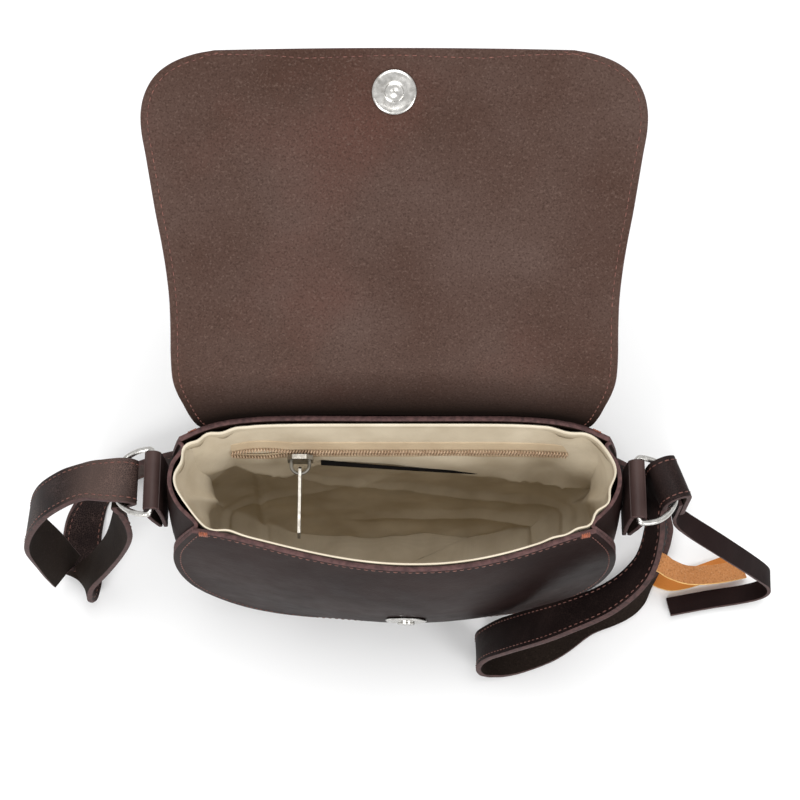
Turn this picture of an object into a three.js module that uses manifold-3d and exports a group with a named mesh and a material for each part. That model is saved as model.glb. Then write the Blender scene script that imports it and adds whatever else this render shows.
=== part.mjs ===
// A small leather crossbody bag. It stands open on its base, flap thrown back, strap lying round it.
// Millimetres: +X to the right of the front, +Y to the back, +Z up, origin in the middle of the base.
import * as THREE from "three";
import { mergeVertices } from "three/addons/utils/BufferGeometryUtils.js";
import Module from "manifold-3d";

// Wall thicknesses, and the gap that touching pieces keep
const PANEL_WALL = 2.6;
const GUSSET_WALL = 2;
const LINING_WALL = 1.2;
const FLAP_WALL = 2.4;
const TAB_WALL = 2.2;
const STRAP_WALL = 2.8;
const LACE_WALL = 2;
const KEEPER_WALL = 1.6;
const GAP = 0.4;

// The body from its rim down to its base: each row is one level section of the open bag.
// halfWidth and frontEdge place the front seam, backWiden and backEdge the back one, wider at the rim.
// lip is how far a seam stands out past the gusset, the sags and the bulge are how far each wall bellies out,
// and pocketSag is how far the lining hangs in at the back.
const SECTION_COLUMNS = [
  "z", "halfWidth", "frontEdge", "frontSag", "backWiden",
  "backEdge", "backSag", "sideBulge", "lip", "pocketSag",
];
const SECTIONS = [
  [170, 98.5, -24.8, 19.6, 8.5, 24.8, 11, 11.5, 2.5, 0],
  [143, 109.5, -25.2, 22, 3.5, 25.8, 10.5, 6, 2.5, 4],
  [110, 113, -25.5, 22, 1, 27, 9.5, 3, 2.5, 8],
  [75, 108.5, -25.5, 18.5, 0, 27.5, 8, 2, 2.5, 6],
  [45, 96.5, -25.5, 13.5, 0, 27.5, 6, 1.5, 2.2, 3],
  [22, 80.5, -25.5, 8.5, 0, 27, 4, 1, 1.4, 1],
  [7, 62, -25.5, 4.5, 0, 26.5, 2, 0.4, 0.5, 0],
  [0, 46, -25.5, 2.5, 0, 26.3, 1, 0, 0, 0],
].map((row) => Object.fromEntries(SECTION_COLUMNS.map((name, column) => [name, row[column]])));
const RIM_Z = SECTIONS[0].z;
const FRONT_ROUNDING = 1.4; // how sharply the front bellies out between its side seams
const FRONT_SKEW = 0.1; // its fullest place lies this share of the half width to the right
const BACK_ROUNDING = 6;

// The flap from its sewn edge to its free end
const FLAP = [
  { along: 0, halfWidth: 76 },
  { along: 6, halfWidth: 90 },
  { along: 16, halfWidth: 97 },
  { along: 30, halfWidth: 101 },
  { along: 44, halfWidth: 105 },
  { along: 58, halfWidth: 107 },
  { along: 78, halfWidth: 106.5 },
  { along: 98, halfWidth: 107 },
  { along: 118, halfWidth: 109.5 },
  { along: 138, halfWidth: 113 },
  { along: 158, halfWidth: 116 },
  { along: 174, halfWidth: 118.5 },
  { along: 187, halfWidth: 117.5 },
  { along: 198, halfWidth: 111 },
  { along: 205, halfWidth: 99 },
  { along: 208, halfWidth: 84 },
];
const FLAP_OVERLAP = 16; // sewn to the outside of the back panel, below the rim
const FLAP_BEND = 70; // length of the curve that turns it back
const FLAP_LEAN = THREE.MathUtils.degToRad(60); // its lean from upright past the curve
const FLAP_BOW = 6.4; // how far its edges stand forward of its middle just above the rim
const FLAP_FLATNESS = 0.7; // share of that bow that it has lost at its free end
const FLAP_RELEASE = 20; // height over which it leaves the curve of the back panel

// Snap
const SNAP_X = 6;
const SNAP_Z = 70;
const SOCKET_ALONG = 188;
const SNAP_SEGMENTS = 20;
const STUD_PROFILE = [
  { radius: 0, height: 0 },
  { radius: 11, height: 0 },
  { radius: 11, height: 1 },
  { radius: 9.6, height: 1.8 },
  { radius: 7, height: 1.8 },
  { radius: 6.2, height: 1.2 },
  { radius: 4.4, height: 1.2 },
  { radius: 4, height: 2.6 },
  { radius: 0, height: 2.8 },
];
const SOCKET_PROFILE = [
  { radius: 0, height: 0 },
  { radius: 10.5, height: 0 },
  { radius: 10.5, height: 1.4 },
  { radius: 9, height: 2.6 },
  { radius: 5.6, height: 2.6 },
  { radius: 5, height: 0.9 },
  { radius: 0, height: 0.9 },
];

// Zip on the back wall of the lining
const ZIP_Z = 143;
const ZIP_LEFT = -83;
const ZIP_RIGHT = 88;
const ZIP_OPEN_END = -54; // the halves part between the left end and here
const ZIP_OPENING = 2.8;
const ZIP_STEPS = 22;
const ZIP_HALF = [
  { out: 0.3, up: 0.2 },
  { out: 0.3, up: 8 },
  { out: 1.2, up: 8 },
  { out: 1.2, up: 2.8 },
  { out: 3, up: 2.8 },
  { out: 3, up: 0.2 },
];
const SLIDER = {
  x: -48,
  length: 13,
  height: 9,
  plate: 2.4,
  clear: 3.8, // from the lining to the back of its plate
  bridgeRadius: 4.6,
  bridgeWire: 1.8,
  bridgeLeg: 2,
};
const PULL = { length: 37, height: 6, tipHeight: 4.6, plate: 1.4, eye: 3.4, inner: 1.4 };
const LABEL = { left: -38, right: 51, z: 131.5, drop: 16, height: 1.2, deepEnd: 2.4, thinEnd: 0.8 };

// Tabs and D-rings, drawn on the right and mirrored on the left
const TAB = { z: 158, length: 30, width: 30, standOff: 3 };
const RING_DROP = THREE.MathUtils.degToRad(10);
const RING = { wire: 3, bar: 33, reach: 20, slit: 0.4, sides: 4, steps: 32 };
const RING_Y = { left: 5.5, right: 1 };

// The strap from its sewn end at the right ring, round the back, through the left ring to its free end.
// The w columns give the direction across its width.
const STRAP_WIDTH = 23;
const STRAP = [
  { x: 143.2, y: 8, z: 128, wx: -0.34, wy: 0.94, wz: 0 },
  { x: 143.2, y: 8, z: 143, wx: -0.34, wy: 0.94, wz: 0 },
  { x: 143.2, y: 8, z: 155.3, wx: -0.34, wy: 0.94, wz: 0 },
  { x: 141.5, y: 7.4, z: 159.8, wx: -0.34, wy: 0.94, wz: 0 },
  { x: 137.4, y: 6, z: 161.6, wx: -0.34, wy: 0.94, wz: 0 },
  { x: 133.3, y: 4.5, z: 159.8, wx: -0.34, wy: 0.94, wz: 0 },
  { x: 131.5, y: 3.9, z: 155, wx: -0.34, wy: 0.94, wz: 0 },
  { x: 131.1, y: 2.8, z: 147.5, wx: -0.34, wy: 0.93, wz: -0.1 },
  { x: 131.4, y: -2.5, z: 141, wx: -0.25, wy: 0.85, wz: -0.45 },
  { x: 131.2, y: -15.5, z: 135.5, wx: -0.15, wy: 0.7, wz: -0.7 },
  { x: 125, y: -32.5, z: 130.5, wx: -0.15, wy: 0.7, wz: -0.7 },
  { x: 109.5, y: -45, z: 122, wx: -0.15, wy: 0.74, wz: -0.65 },
  { x: 86, y: -51, z: 102, wx: -0.13, wy: 0.76, wz: -0.64 },
  { x: 66, y: -50.5, z: 72, wx: -0.08, wy: 0.78, wz: -0.62 },
  { x: 53, y: -48.5, z: 43, wx: 0, wy: 0.8, wz: -0.6 },
  { x: 46.5, y: -49.5, z: 23, wx: 0, wy: 0.85, wz: -0.53 },
  { x: 49.5, y: -50.5, z: 9, wx: 0, wy: 0.93, wz: -0.37 },
  { x: 64, y: -48, z: 3.4, wx: 0, wy: 0.99, wz: -0.1 },
  { x: 86, y: -39.5, z: 2.3, wx: -0.1, wy: 0.99, wz: 0 },
  { x: 106, y: -25.5, z: 2.8, wx: -0.2, wy: 0.97, wz: 0.05 },
  { x: 126, y: -18.5, z: 8.6, wx: -0.2, wy: 0.78, wz: 0.58 },
  { x: 139, y: -12, z: 14.8, wx: -0.05, wy: 0.2, wz: 0.97 },
  { x: 145.8, y: -6, z: 16.5, wx: 0, wy: 0, wz: 1 },
  { x: 150.5, y: 3, z: 16.6, wx: 0, wy: 0, wz: 1 },
  { x: 153.8, y: 12.5, z: 16.4, wx: 0, wy: 0, wz: 1 },
  { x: 155, y: 22, z: 14.4, wx: 0, wy: 0, wz: 1 },
  { x: 151.5, y: 38, z: 12.4, wx: 0, wy: 0, wz: 1 },
  { x: 140, y: 53, z: 12, wx: 0, wy: 0, wz: 1 },
  { x: 112, y: 66, z: 12, wx: 0, wy: 0, wz: 1 },
  { x: 60, y: 71, z: 12, wx: 0, wy: 0, wz: 1 },
  { x: 0, y: 72, z: 12, wx: 0, wy: 0, wz: 1 },
  { x: -60, y: 71, z: 12, wx: 0, wy: 0, wz: 1 },
  { x: -118, y: 67, z: 12, wx: 0, wy: 0, wz: 1 },
  { x: -152, y: 57, z: 12, wx: 0, wy: 0, wz: 1 },
  { x: -170, y: 44, z: 11.8, wx: -0.4, wy: 0, wz: 0.92 },
  { x: -178, y: 27, z: 8.8, wx: -0.8, wy: 0, wz: 0.6 },
  { x: -178.5, y: 8, z: 8, wx: -0.87, wy: 0, wz: 0.5 },
  { x: -177, y: -3, z: 8.8, wx: -0.82, wy: 0.12, wz: 0.56 },
  { x: -175.5, y: -9, z: 13, wx: -0.55, wy: 0.65, wz: 0.52 },
  { x: -173.2, y: -9.8, z: 22, wx: -0.2, wy: 0.95, wz: 0.15 },
  { x: -165.6, y: -8.7, z: 43, wx: 0.08, wy: 0.99, wz: 0 },
  { x: -154.5, y: -7, z: 70, wx: 0, wy: 1, wz: 0 },
  { x: -143.5, y: -5.5, z: 106, wx: -0.25, wy: 0.96, wz: 0 },
  { x: -138.4, y: -4, z: 130, wx: -0.33, wy: 0.94, wz: 0 },
  { x: -139.4, y: 1.4, z: 141.5, wx: -0.2, wy: 0.98, wz: 0 },
  { x: -140.2, y: 4.5, z: 147.5, wx: 0, wy: 1, wz: 0 },
  { x: -133.8, y: 5.5, z: 151.3, wx: 0, wy: 1, wz: 0 },
  { x: -129.8, y: 5.5, z: 156, wx: 0, wy: 1, wz: 0 },
  { x: -135, y: 5.5, z: 160, wx: 0, wy: 1, wz: 0 },
  { x: -145.3, y: 6, z: 158.4, wx: -0.1, wy: 0.97, wz: -0.2 },
  { x: -154, y: 6.5, z: 155.5, wx: -0.18, wy: 0.9, wz: -0.4 },
  { x: -167, y: 4.5, z: 148.5, wx: -0.2, wy: 0.88, wz: -0.42 },
  { x: -180, y: 1.5, z: 134, wx: -0.15, wy: 0.9, wz: -0.4 },
  { x: -189, y: -1, z: 112, wx: 0, wy: 0.95, wz: -0.3 },
  { x: -191, y: -2, z: 90, wx: 0.25, wy: 0.95, wz: -0.15 },
  { x: -188.5, y: -2, z: 58, wx: 0.5, wy: 0.86, wz: 0 },
  { x: -186.8, y: -2.4, z: 36, wx: 0.58, wy: 0.8, wz: 0 },
  { x: -185.5, y: -2, z: 16.4, wx: 0.6, wy: 0.8, wz: 0 },
];

// The narrow lace that hangs inside the fold of the strap's sewn end
const LACE_WIDTH = 11;
const LACE = [
  { x: 142.2, y: 1.3, z: 147, wx: -0.34, wy: 0.94, wz: 0 },
  { x: 142.2, y: 1.3, z: 133, wx: -0.34, wy: 0.94, wz: 0 },
  { x: 143, y: 0.5, z: 122, wx: -0.25, wy: 0.96, wz: 0.1 },
  { x: 152, y: -3, z: 111, wx: -0.1, wy: 0.9, wz: 0.4 },
  { x: 172, y: -8, z: 89, wx: 0, wy: 0.8, wz: 0.6 },
  { x: 196, y: -10, z: 52, wx: 0, wy: 0.85, wz: 0.5 },
  { x: 208, y: -10.5, z: 28, wx: 0, wy: 0.95, wz: 0.2 },
  { x: 207.5, y: -11.5, z: 12, wx: 0, wy: 0.98, wz: -0.1 },
  { x: 197, y: -13, z: 4.8, wx: 0, wy: 0.97, wz: -0.2 },
  { x: 179, y: -15.5, z: 3.2, wx: 0, wy: 0.97, wz: -0.2 },
  { x: 155, y: -20, z: 3.2, wx: 0, wy: 0.97, wz: -0.2 },
];

// The tan keeper: a strip folded round the strap where that stands on its edge
const KEEPER_WIDTH = 11;
const KEEPER = [
  { x: 200, y: 9, z: 1.4, wx: -0.37, wy: 0.93, wz: 0 },
  { x: 180, y: 1.5, z: 1.4, wx: -0.35, wy: 0.94, wz: 0 },
  { x: 166, y: -3.2, z: 1.4, wx: -0.25, wy: 0.97, wz: 0 },
  { x: 156, y: -4.5, z: 1.4, wx: 0.1, wy: 0.99, wz: 0 },
  { x: 146.8, y: -0.8, z: 1.7, wx: 0.46, wy: 0.89, wz: 0 },
  { x: 145.2, y: 0, z: 4.5, wx: 0.46, wy: 0.89, wz: 0 },
  { x: 145.2, y: 0, z: 16, wx: 0.46, wy: 0.89, wz: 0 },
  { x: 145.2, y: 0, z: 27, wx: 0.46, wy: 0.89, wz: 0 },
  { x: 146.3, y: -0.6, z: 30.3, wx: 0.46, wy: 0.89, wz: 0 },
  { x: 149.8, y: -2.4, z: 30.3, wx: 0.46, wy: 0.89, wz: 0 },
  { x: 154, y: -4.2, z: 27, wx: 0.3, wy: 0.95, wz: 0 },
  { x: 165, y: -6, z: 20.5, wx: -0.1, wy: 0.98, wz: 0 },
  { x: 182, y: -3.2, z: 12.5, wx: -0.3, wy: 0.95, wz: 0 },
  { x: 198, y: 1.5, z: 6, wx: -0.34, wy: 0.94, wz: 0 },
];

// How finely each sheet is divided
const PANEL_ROWS = 14;
const FRONT_COLUMNS = 22;
const BACK_COLUMNS = 18;
const SIDE_STEPS = 14;
const BASE_STEPS = 5;
const GUSSET_ACROSS = 4;
const LINING_FRONT = 14;
const LINING_SIDE = 4;
const LINING_BACK = 16;
const LINING_ROWS = 14;
const FLAP_COLUMNS = 14;
const FLAP_ROWS = 22;

const wasm = await Module();
wasm.setup();

// A smooth value of one column of a table, with position running from 0 at the first row to 1 at the last
function columnAt(table, column, position) {
  const last = table.length - 1;
  const place = THREE.MathUtils.clamp(position, 0, 1) * last;
  const row = Math.min(Math.floor(place), last - 1);
  const t = place - row;
  const value = (index) => table[THREE.MathUtils.clamp(index, 0, last)][column];
  const [a, b, c, d] = [value(row - 1), value(row), value(row + 1), value(row + 2)];
  const linear = (c - a) * t;
  const square = (2 * a - 5 * b + 4 * c - d) * t * t;
  const cube = (3 * b - a - 3 * c + d) * t * t * t;
  return b + (linear + square + cube) / 2;
}

// Where along a table one of its columns reaches a value, for a column that only rises or only falls
function positionOf(table, column, value) {
  const rising = table.at(-1)[column] > table[0][column];
  let [low, high] = [0, 1];
  for (let halving = 0; halving < 40; halving += 1) {
    const middle = (low + high) / 2;
    const short = columnAt(table, column, middle) < value === rising;
    [low, high] = short ? [middle, high] : [low, middle];
  }
  return (low + high) / 2;
}

const body = (column, depth) => columnAt(SECTIONS, column, depth);
const depthOf = (z) => positionOf(SECTIONS, "z", z);

// Half the width of the bag, where share runs from -1 at the front seam to 1 at the back seam
const halfWidthAt = (share, depth) => body("halfWidth", depth) + (body("backWiden", depth) * (share + 1)) / 2;

// Outer faces of the front and back at a place across (-1 to 1, seam to seam) and a depth (0 rim, 1 base)
function frontY(across, depth) {
  const shifted = across - FRONT_SKEW * (1 - across * across);
  const belly = Math.max(0, 1 - shifted * shifted) ** FRONT_ROUNDING;
  return body("frontEdge", depth) - body("frontSag", depth) * belly;
}

function backY(across, depth) {
  return body("backEdge", depth) + body("backSag", depth) * (1 - Math.abs(across) ** BACK_ROUNDING);
}

// The outline of the right side, moved inwards square to itself
function outlineAt(share, depth, inset) {
  const small = 1e-3;
  const above = Math.max(depth - small, 0);
  const below = Math.min(depth + small, 1);
  const dx = halfWidthAt(share, below) - halfWidthAt(share, above);
  const dz = body("z", below) - body("z", above);
  const length = Math.hypot(dx, dz);
  const x = halfWidthAt(share, depth) + (inset * dz) / length;
  const z = body("z", depth) - (inset * dx) / length;
  return { x, z };
}

// A geometry of corner points and of triangles that index them
function solidOf(points, triangles) {
  const geometry = new THREE.BufferGeometry();
  geometry.setFromPoints(points);
  geometry.setIndex(triangles);
  geometry.computeVertexNormals();
  return geometry;
}

// The direction that a surface faces, square to its across and along directions
function facing(pointAt, u, v) {
  const small = 1e-3;
  const across = pointAt(Math.min(u + small, 1), v).sub(pointAt(Math.max(u - small, 0), v));
  const along = pointAt(u, Math.min(v + small, 1)).sub(pointAt(u, Math.max(v - small, 0)));
  return across.cross(along).normalize();
}

// A sheet with a wall: the surface pointAt(u, v), a second layer behind it, and the four edges between them
function sheet(pointAt, columns, rows, wall) {
  const face = [];
  const back = [];
  for (let row = 0; row <= rows; row += 1) {
    for (let column = 0; column <= columns; column += 1) {
      const [u, v] = [column / columns, row / rows];
      const point = pointAt(u, v);
      face.push(point);
      back.push(point.clone().addScaledVector(facing(pointAt, u, v), -wall));
    }
  }
  const count = face.length;
  const at = (column, row) => row * (columns + 1) + column;
  const triangles = [];
  const quad = (a, b, c, d) => triangles.push(a, b, c, a, c, d);
  for (let row = 0; row < rows; row += 1) {
    for (let column = 0; column < columns; column += 1) {
      const [a, b] = [at(column, row), at(column + 1, row)];
      const [c, d] = [at(column + 1, row + 1), at(column, row + 1)];
      quad(a, b, c, d);
      quad(count + d, count + c, count + b, count + a);
    }
  }
  for (let column = 0; column < columns; column += 1) {
    const [a, b] = [at(column, 0), at(column + 1, 0)];
    const [c, d] = [at(column, rows), at(column + 1, rows)];
    quad(a, count + a, count + b, b);
    quad(c, d, count + d, count + c);
  }
  for (let row = 0; row < rows; row += 1) {
    const [a, b] = [at(0, row), at(0, row + 1)];
    const [c, d] = [at(columns, row), at(columns, row + 1)];
    quad(a, b, count + b, count + a);
    quad(c, count + c, count + d, d);
  }
  return solidOf([...face, ...back], triangles);
}

// A body through a row of like sections, with capFaces closing the first and the last
function loft(sections, capFaces) {
  const count = sections[0].length;
  const triangles = [];
  for (let step = 0; step < sections.length - 1; step += 1) {
    for (let corner = 0; corner < count; corner += 1) {
      const next = (corner + 1) % count;
      const [a, b] = [step * count + corner, step * count + next];
      triangles.push(a, b, b + count, a, b + count, a + count);
    }
  }
  const end = (sections.length - 1) * count;
  for (const [a, b, c] of capFaces) {
    triangles.push(a, c, b);
    triangles.push(end + a, end + b, end + c);
  }
  return solidOf(sections.flat(), triangles);
}

// A flat band along a table of places, each with the direction across its width
function band(table, width, wall, stepsPerRow) {
  const steps = stepsPerRow * (table.length - 1);
  const placeAt = (t) => {
    const [x, y, z] = ["x", "y", "z"].map((column) => columnAt(table, column, t));
    return new THREE.Vector3(x, y, z);
  };
  const small = 1e-3;
  const sections = [];
  for (let step = 0; step <= steps; step += 1) {
    const t = step / steps;
    const middle = placeAt(t);
    const ahead = placeAt(Math.min(t + small, 1)).sub(placeAt(Math.max(t - small, 0))).normalize();
    const [wx, wy, wz] = ["wx", "wy", "wz"].map((column) => columnAt(table, column, t));
    const across = new THREE.Vector3(wx, wy, wz);
    across.addScaledVector(ahead, -across.dot(ahead)).setLength(width / 2);
    const up = across.clone().cross(ahead).setLength(wall / 2);
    const corner = (side, face) => middle.clone().addScaledVector(across, side).addScaledVector(up, face);
    sections.push([corner(-1, -1), corner(-1, 1), corner(1, 1), corner(1, -1)]);
  }
  return loft(sections, [[0, 1, 2], [0, 2, 3]]);
}

// One solid from several that overlap
function joined(geometries) {
  const solids = geometries.map((geometry) => {
    const bare = geometry.clone();
    bare.deleteAttribute("normal");
    bare.deleteAttribute("uv");
    const merged = mergeVertices(bare, 1e-4);
    const vertProperties = new Float32Array(merged.attributes.position.array);
    const triVerts = new Uint32Array(merged.index.array);
    return new wasm.Manifold(new wasm.Mesh({ numProp: 3, vertProperties, triVerts }));
  });
  const whole = solids.reduce((sum, solid) => sum.add(solid)).getMesh();
  const geometry = new THREE.BufferGeometry();
  geometry.setAttribute("position", new THREE.BufferAttribute(whole.vertProperties, 3));
  geometry.setIndex(new THREE.BufferAttribute(whole.triVerts, 1));
  geometry.computeVertexNormals();
  return geometry;
}

// A round wire along a curve
function wire(curve, diameter, sides, steps) {
  const section = new THREE.Shape().absarc(0, 0, diameter / 2, 0, 2 * Math.PI);
  const options = { extrudePath: curve, steps, curveSegments: sides, bevelEnabled: false };
  return new THREE.ExtrudeGeometry(section, options);
}

// Body walls

function frontSurface(u, v) {
  const across = 1 - 2 * u;
  return new THREE.Vector3(across * halfWidthAt(-1, v), frontY(across, v), body("z", v));
}

function backSurface(u, v) {
  const across = 2 * u - 1;
  return new THREE.Vector3(across * halfWidthAt(1, v), backY(across, v), body("z", v));
}

// The outer face of the gusset on the right
function gussetX(share, depth) {
  return outlineAt(share, depth, body("lip", depth)).x + body("sideBulge", depth) * (1 - share * share);
}

function gusset() {
  const steps = 2 * SIDE_STEPS + BASE_STEPS;
  const pointAt = (u, v) => {
    const step = u * steps;
    const fromEnd = Math.min(step, steps - step);
    const side = Math.sign(step - steps / 2);
    const depth = Math.min(fromEnd / SIDE_STEPS, 1);
    const share = 1 - 2 * v;
    const front = body("frontEdge", depth) + PANEL_WALL + GAP;
    const back = body("backEdge", depth) - PANEL_WALL - GAP;
    const y = THREE.MathUtils.lerp(front, back, (share + 1) / 2);
    const onBase = fromEnd > SIDE_STEPS;
    const { z } = outlineAt(0, depth, body("lip", depth));
    const baseX = ((step - steps / 2) / (BASE_STEPS / 2)) * body("halfWidth", 1);
    return new THREE.Vector3(onBase ? baseX : side * gussetX(share, depth), y, onBase ? 0 : z);
  };
  return sheet(pointAt, steps, GUSSET_ACROSS, GUSSET_WALL);
}

// Lining

const LINING_CLEAR = 0.8; // between the leather and the lining
const SLANT = 1.12; // how much a slanting wall takes up of a level line, against its thickness
const SIDE_CLEAR = 1.1; // further in from the gusset, whose sides curve more
const LINING_INSIDE = LINING_CLEAR + LINING_WALL;

// The back wall of the lining, inset from the inside of the leather
function liningBackY(x, depth, inset) {
  const across = x / halfWidthAt(1, depth);
  const hang = body("pocketSag", depth) * (1 - across ** 6);
  return backY(across, depth) - (PANEL_WALL + inset) * SLANT - hang;
}

function liningFrontY(x, depth, inset) {
  return frontY(x / halfWidthAt(-1, depth), depth) + (PANEL_WALL + inset) * SLANT;
}

// A ring of points round the inside of the bag at one depth, anticlockwise from the front left corner
function liningRing(depth, inset) {
  const across = body("lip", depth) + GUSSET_WALL + SIDE_CLEAR + inset;
  const frontX = outlineAt(-1, depth, across).x;
  const backX = outlineAt(1, depth, across).x;
  const { z } = outlineAt(0, depth, across);
  const ring = [];
  for (let step = 0; step < LINING_FRONT; step += 1) {
    const x = frontX * ((2 * step) / LINING_FRONT - 1);
    ring.push(new THREE.Vector3(x, liningFrontY(x, depth, inset), z));
  }
  const back = liningBackY(backX, depth, inset);
  const side = (step, sign) => {
    const share = (2 * step) / LINING_SIDE - 1;
    const bulge = body("sideBulge", depth) * (1 - share * share);
    const x = THREE.MathUtils.lerp(frontX, backX, step / LINING_SIDE) + bulge;
    const front = liningFrontY(sign * frontX, depth, inset);
    ring.push(new THREE.Vector3(sign * x, THREE.MathUtils.lerp(front, back, step / LINING_SIDE), z));
  };
  for (let step = 0; step < LINING_SIDE; step += 1) {
    side(step, 1);
  }
  for (let step = 0; step < LINING_BACK; step += 1) {
    const x = backX * (1 - (2 * step) / LINING_BACK);
    ring.push(new THREE.Vector3(x, liningBackY(x, depth, inset), z));
  }
  for (let step = LINING_SIDE; step > 0; step -= 1) {
    side(step, -1);
  }
  return ring;
}

function lining() {
  const rings = (inset) => {
    const depths = Array.from({ length: LINING_ROWS + 1 }, (_, row) => row / LINING_ROWS);
    return depths.map((depth) => liningRing(depth, inset));
  };
  const outer = rings(LINING_CLEAR);
  const inner = rings(LINING_INSIDE);
  const around = outer[0].length;
  const points = [...outer.flat(), ...inner.flat()];
  const innerStart = outer.flat().length;
  const triangles = [];
  const quad = (a, b, c, d) => triangles.push(a, b, c, a, c, d);
  for (let place = 0; place < around; place += 1) {
    const next = (place + 1) % around;
    for (let row = 0; row < LINING_ROWS; row += 1) {
      const [a, b] = [row * around + place, row * around + next];
      const [c, d] = [b + around, a + around];
      quad(a, d, c, b);
      quad(innerStart + a, innerStart + b, innerStart + c, innerStart + d);
    }
    quad(place, next, innerStart + next, innerStart + place);
  }
  const closeBase = (ring, start, facesUp) => {
    const middle = ring.reduce((sum, point) => sum.add(point), new THREE.Vector3()).divideScalar(around);
    points.push(middle);
    const hub = points.length - 1;
    for (let place = 0; place < around; place += 1) {
      const next = (place + 1) % around;
      triangles.push(hub, start + (facesUp ? place : next), start + (facesUp ? next : place));
    }
  };
  closeBase(outer.at(-1), LINING_ROWS * around, false);
  closeBase(inner.at(-1), innerStart + LINING_ROWS * around, true);
  return solidOf(points, triangles);
}

// Flap

// The flap's inside face: across runs from -1 to 1, along from its sewn edge to its free end
function flapPoint(across, along) {
  const x = across * columnAt(FLAP, "halfWidth", positionOf(FLAP, "along", along));
  const above = along - FLAP_OVERLAP;
  const depth = above < 0 ? depthOf(RIM_Z + above) : 0;
  const middle = backY(0, depth) + GAP + 0.2;
  const onPanel = THREE.MathUtils.clamp(x / halfWidthAt(1, depth), -1, 1);
  const panelCurve = backY(onPanel, depth) - backY(0, depth);
  if (above <= 0) {
    return new THREE.Vector3(x, middle + panelCurve, RIM_Z + above);
  }
  const freeLength = FLAP.at(-1).along - FLAP_OVERLAP;
  const bow = FLAP_BOW * (1 - FLAP_FLATNESS * (above / freeLength)) * (x / halfWidthAt(1, 0)) ** 2;
  const released = THREE.MathUtils.smoothstep(above, 0, FLAP_RELEASE);
  const radius = FLAP_BEND / FLAP_LEAN;
  const turn = Math.min(above, FLAP_BEND) / radius;
  const straight = Math.max(above - FLAP_BEND, 0);
  const y = middle + radius * (1 - Math.cos(turn)) + straight * Math.sin(FLAP_LEAN);
  const z = RIM_Z + radius * Math.sin(turn) + straight * Math.cos(FLAP_LEAN);
  return new THREE.Vector3(x, y + THREE.MathUtils.lerp(panelCurve, -bow, released), z);
}

const flapSurface = (u, v) => flapPoint(2 * u - 1, columnAt(FLAP, "along", v));

function flap() {
  return sheet(flapSurface, FLAP_COLUMNS, FLAP_ROWS, FLAP_WALL);
}

// Snap

function turned(profile) {
  const points = profile.map(({ radius, height }) => new THREE.Vector2(radius, height));
  return new THREE.LatheGeometry(points, SNAP_SEGMENTS);
}

// Seats a turned piece on a surface: its base just off the place, its axis along the way the surface faces
function seat(mesh, place, direction) {
  mesh.quaternion.setFromUnitVectors(new THREE.Vector3(0, 1, 0), direction);
  mesh.position.copy(place).addScaledVector(direction, GAP);
  return mesh;
}

// Zip

function zipHalf(side) {
  const sections = [];
  for (let step = 0; step <= ZIP_STEPS; step += 1) {
    const x = THREE.MathUtils.lerp(ZIP_LEFT, ZIP_RIGHT, step / ZIP_STEPS);
    const openShare = THREE.MathUtils.clamp((x - ZIP_LEFT) / (ZIP_OPEN_END - ZIP_LEFT), 0, 1);
    const parted = ZIP_OPENING * Math.sin(Math.PI * openShare);
    const section = ZIP_HALF.map(({ out, up }) => {
      const z = ZIP_Z + side * (up + parted);
      const wall = liningBackY(x, depthOf(z), LINING_INSIDE);
      return new THREE.Vector3(x, wall - out, z);
    });
    sections.push(side > 0 ? section : section.reverse());
  }
  const flat = ZIP_HALF.map(({ out, up }) => new THREE.Vector2(-out, side * up));
  const corners = side > 0 ? flat : flat.reverse();
  return loft(sections, THREE.ShapeUtils.triangulateShape(corners, []));
}

// Where the pull turns: upright through the middle of the slider's half-round bridge
const zipWallY = liningBackY(SLIDER.x, depthOf(ZIP_Z), LINING_INSIDE);
const sliderFrontY = zipWallY - SLIDER.clear - SLIDER.plate;
const pullAxis = new THREE.Vector3(SLIDER.x, sliderFrontY - SLIDER.bridgeLeg, ZIP_Z);

function zipSlider() {
  const [half, tall] = [SLIDER.length / 2, SLIDER.height / 2];
  const outline = new THREE.Shape();
  outline.moveTo(-half, -tall * 0.55);
  outline.lineTo(-half * 0.6, -tall);
  outline.lineTo(half * 0.5, -tall);
  outline.lineTo(half, -tall * 0.6);
  outline.lineTo(half, tall * 0.6);
  outline.lineTo(half * 0.5, tall);
  outline.lineTo(-half * 0.6, tall);
  outline.lineTo(-half, tall * 0.55);
  outline.closePath();
  const plate = new THREE.ExtrudeGeometry(outline, { depth: SLIDER.plate, bevelEnabled: false });
  plate.rotateX(Math.PI / 2);
  plate.translate(SLIDER.x, sliderFrontY + SLIDER.plate, ZIP_Z);
  const rooted = SLIDER.plate / 2;
  const points = [];
  for (let step = 0; step <= 12; step += 1) {
    const angle = (Math.PI * step) / 12;
    const x = pullAxis.x + SLIDER.bridgeRadius * Math.cos(angle);
    points.push(new THREE.Vector3(x, pullAxis.y - SLIDER.bridgeRadius * Math.sin(angle), ZIP_Z));
  }
  const root = (x) => new THREE.Vector3(x, sliderFrontY + rooted, ZIP_Z);
  points.unshift(root(points[0].x));
  points.push(root(points.at(-1).x));
  const bridge = wire(new THREE.CatmullRomCurve3(points), SLIDER.bridgeWire, 4, 20);
  return joined([plate, bridge]);
}

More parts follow.
